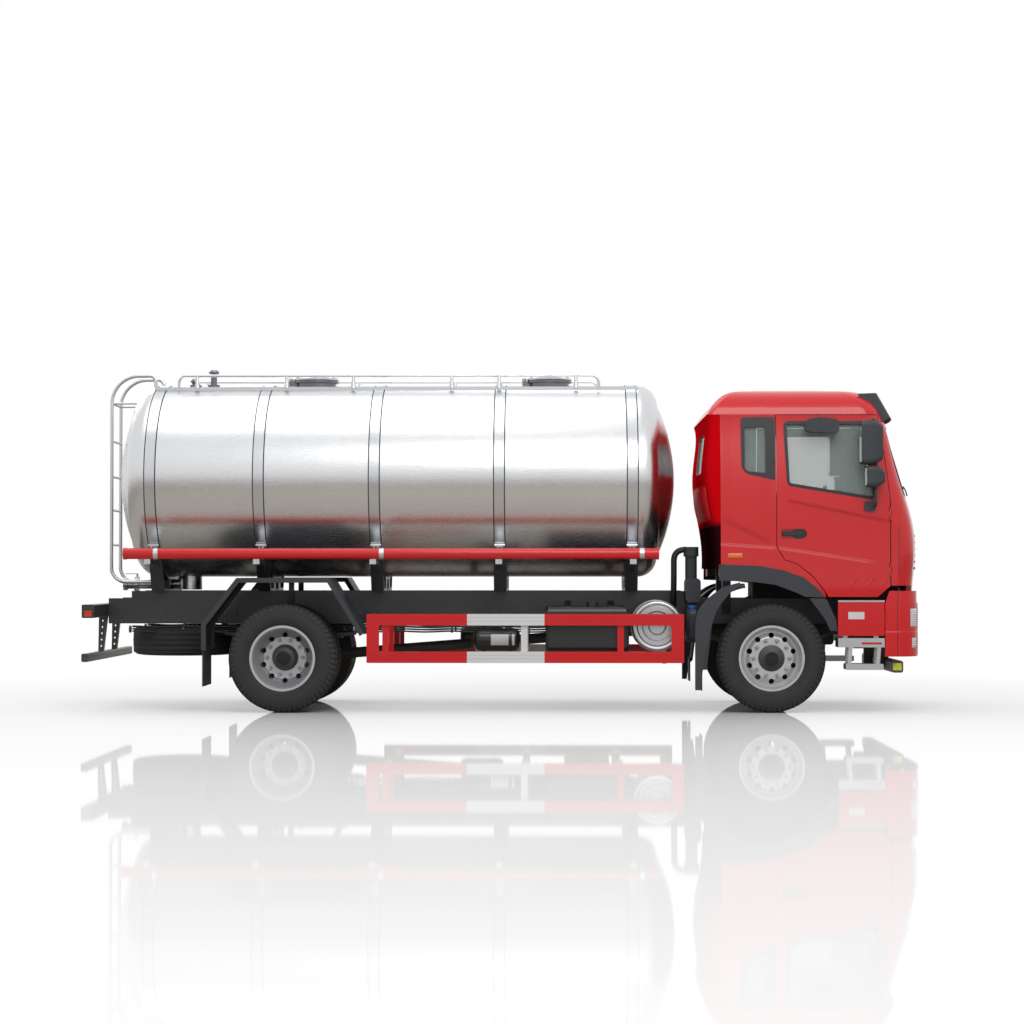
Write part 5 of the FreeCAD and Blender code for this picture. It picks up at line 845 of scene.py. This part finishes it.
# Lamps: clear lenses in front, red at the tail, orange-red side markers, and pale step and end markers.
# All are moulded, with fine ridges that scatter the light, and are seated in bumper, steps and tail beam.
lamp_lens = Finish("lamp_lens", Roughness=0.1, Coat_Weight=0.7)
lamp_x, lamp_z = lamp_lens.place("X"), lamp_lens.place("Z")
at_front = lamp_x.above(3.6)
at_end = lamp_x.between(3.56, 3.66) * lamp_z.below(0.5)
at_step = lamp_x.between(3.0, 3.4)
lamp_tone = lamp_lens.blend(at_front, colour(206, 44, 22), colour(206, 210, 214))
lamp_tone = lamp_lens.blend(at_step, lamp_tone, colour(222, 222, 220))
lamp_tone = lamp_lens.blend(at_end, lamp_tone, colour(214, 220, 60))
facets = lamp_lens.place("Y").wave(0.02) + lamp_z.wave(0.02)
lamp_lens.set(Base_Color=lamp_tone, Normal=lamp_lens.bump(facets, 0.0008), Metallic=at_front * 0.4)
dress(lamp_lens, "lamps")


# Lamp wraps: the head and fog lamps' clear lenses carry on round the bumper's corners.
# Each is a thin moulded cushion that lies on the corner's curve.
CORNER_X, CORNER_Y, CORNER_RADIUS = 3.596, 1.04, 0.2


def bumper_corner(turn, z, out):
    """The bumper's right corner: an arc about an upright line, from the flank at 0 to the front at a quarter turn."""
    size = CORNER_RADIUS + out
    return np.stack([CORNER_X + size * np.sin(turn), -CORNER_Y - size * np.cos(turn), z], axis=-1)


wrap_glass = Finish("wrap_glass", Base_Color=colour(208, 212, 216), Roughness=0.12, Metallic=0.35, Coat_Weight=0.7)
wrap_glass.set(Normal=wrap_glass.bump(wrap_glass.place("Z").wave(0.02), 0.0008))
head_wrap = lens(math.radians(40), math.radians(76), 0.796, 0.959, bumper_corner, 0.004)
fog_wrap = lens(math.radians(46), math.radians(74), 0.603, 0.690, bumper_corner, 0.004)
piece("lamp_wraps", both_sides(head_wrap + fog_wrap), wrap_glass, "chassis")


# Front mudguard sides: moulded plates behind the wheel, from the arch down to the rubber flap.
# They share the mudguards' grained plastic and are screwed to the guards' outer edge.
GUARD_REAR = ((2.165, 1.200), (2.018, 1.160), (1.885, 1.070), (1.775, 0.950), (1.752, 0.800), (1.752, 0.212))
GUARD_FRONT = ((2.165, 1.170), (2.060, 1.095), (1.950, 0.950), (1.890, 0.760), (1.828, 0.444), (1.800, 0.212))


def between_edges(rear, front, y0, y1):
    """A plate between two edges of as many points: each cross-line closed round, and the ends drawn together."""
    rows = np.stack([np.stack([edge[:, 0], np.full(len(edge), y), edge[:, 1]], axis=-1)
                     for edge, y in ((rear, y0), (front, y0), (front, y1), (rear, y1))], axis=1)
    ends = rows[[0, -1]].mean(axis=1, keepdims=True).repeat(4, axis=1)
    return (np.concatenate([ends[:1], rows, ends[1:]]), False, True)


guard_plate = between_edges(rounded(GUARD_REAR, 0.06, 6), rounded(GUARD_FRONT, 0.06, 6), -1.218, -1.196)
piece("mudguard_sides", both_sides([guard_plate]), dark_plastic, "chassis")


# Steps: bright pressed treads under red panels, with a bright strip above and a red reflector on the upper tread.
# The strip is riveted along the panel's top edge, and the reflector is stuck to the tread's outer face.
def box_sheet(x0, x1, y0, y1, z0, z1, edge):
    """A bar with its long edges taken off: an eight-sided section carried from one end to the other."""
    section = np.array([(y0 + edge, z0), (y1 - edge, z0), (y1, z0 + edge), (y1, z1 - edge), (y1 - edge, z1),
                        (y0 + edge, z1), (y0, z1 - edge), (y0, z0 + edge)])
    centre = np.tile(section.mean(axis=0), (8, 1))
    rows = [np.column_stack([np.full(8, x), spots]) for x, spots in
            ((x0, centre), (x0, section), (x1, section), (x1, centre))]
    return (np.stack(rows), False, True)


strip_bar = box_sheet(3.057, 3.482, -1.2475, -1.190, 1.018, 1.036, 0.003)
piece("step_strips", both_sides([strip_bar]), pressed_steel, "chassis")
reflector_red = Finish("reflector_red", Base_Color=colour(206, 26, 26), Roughness=0.2, Coat_Weight=0.5)
reflector_red.set(Normal=reflector_red.bump(reflector_red.place("X").wave(0.01), 0.0006))
reflector_bar = box_sheet(3.272, 3.455, -1.2485, -1.244, 0.632, 0.652, 0.001)
piece("step_reflectors", both_sides([reflector_bar]), reflector_red, "chassis")
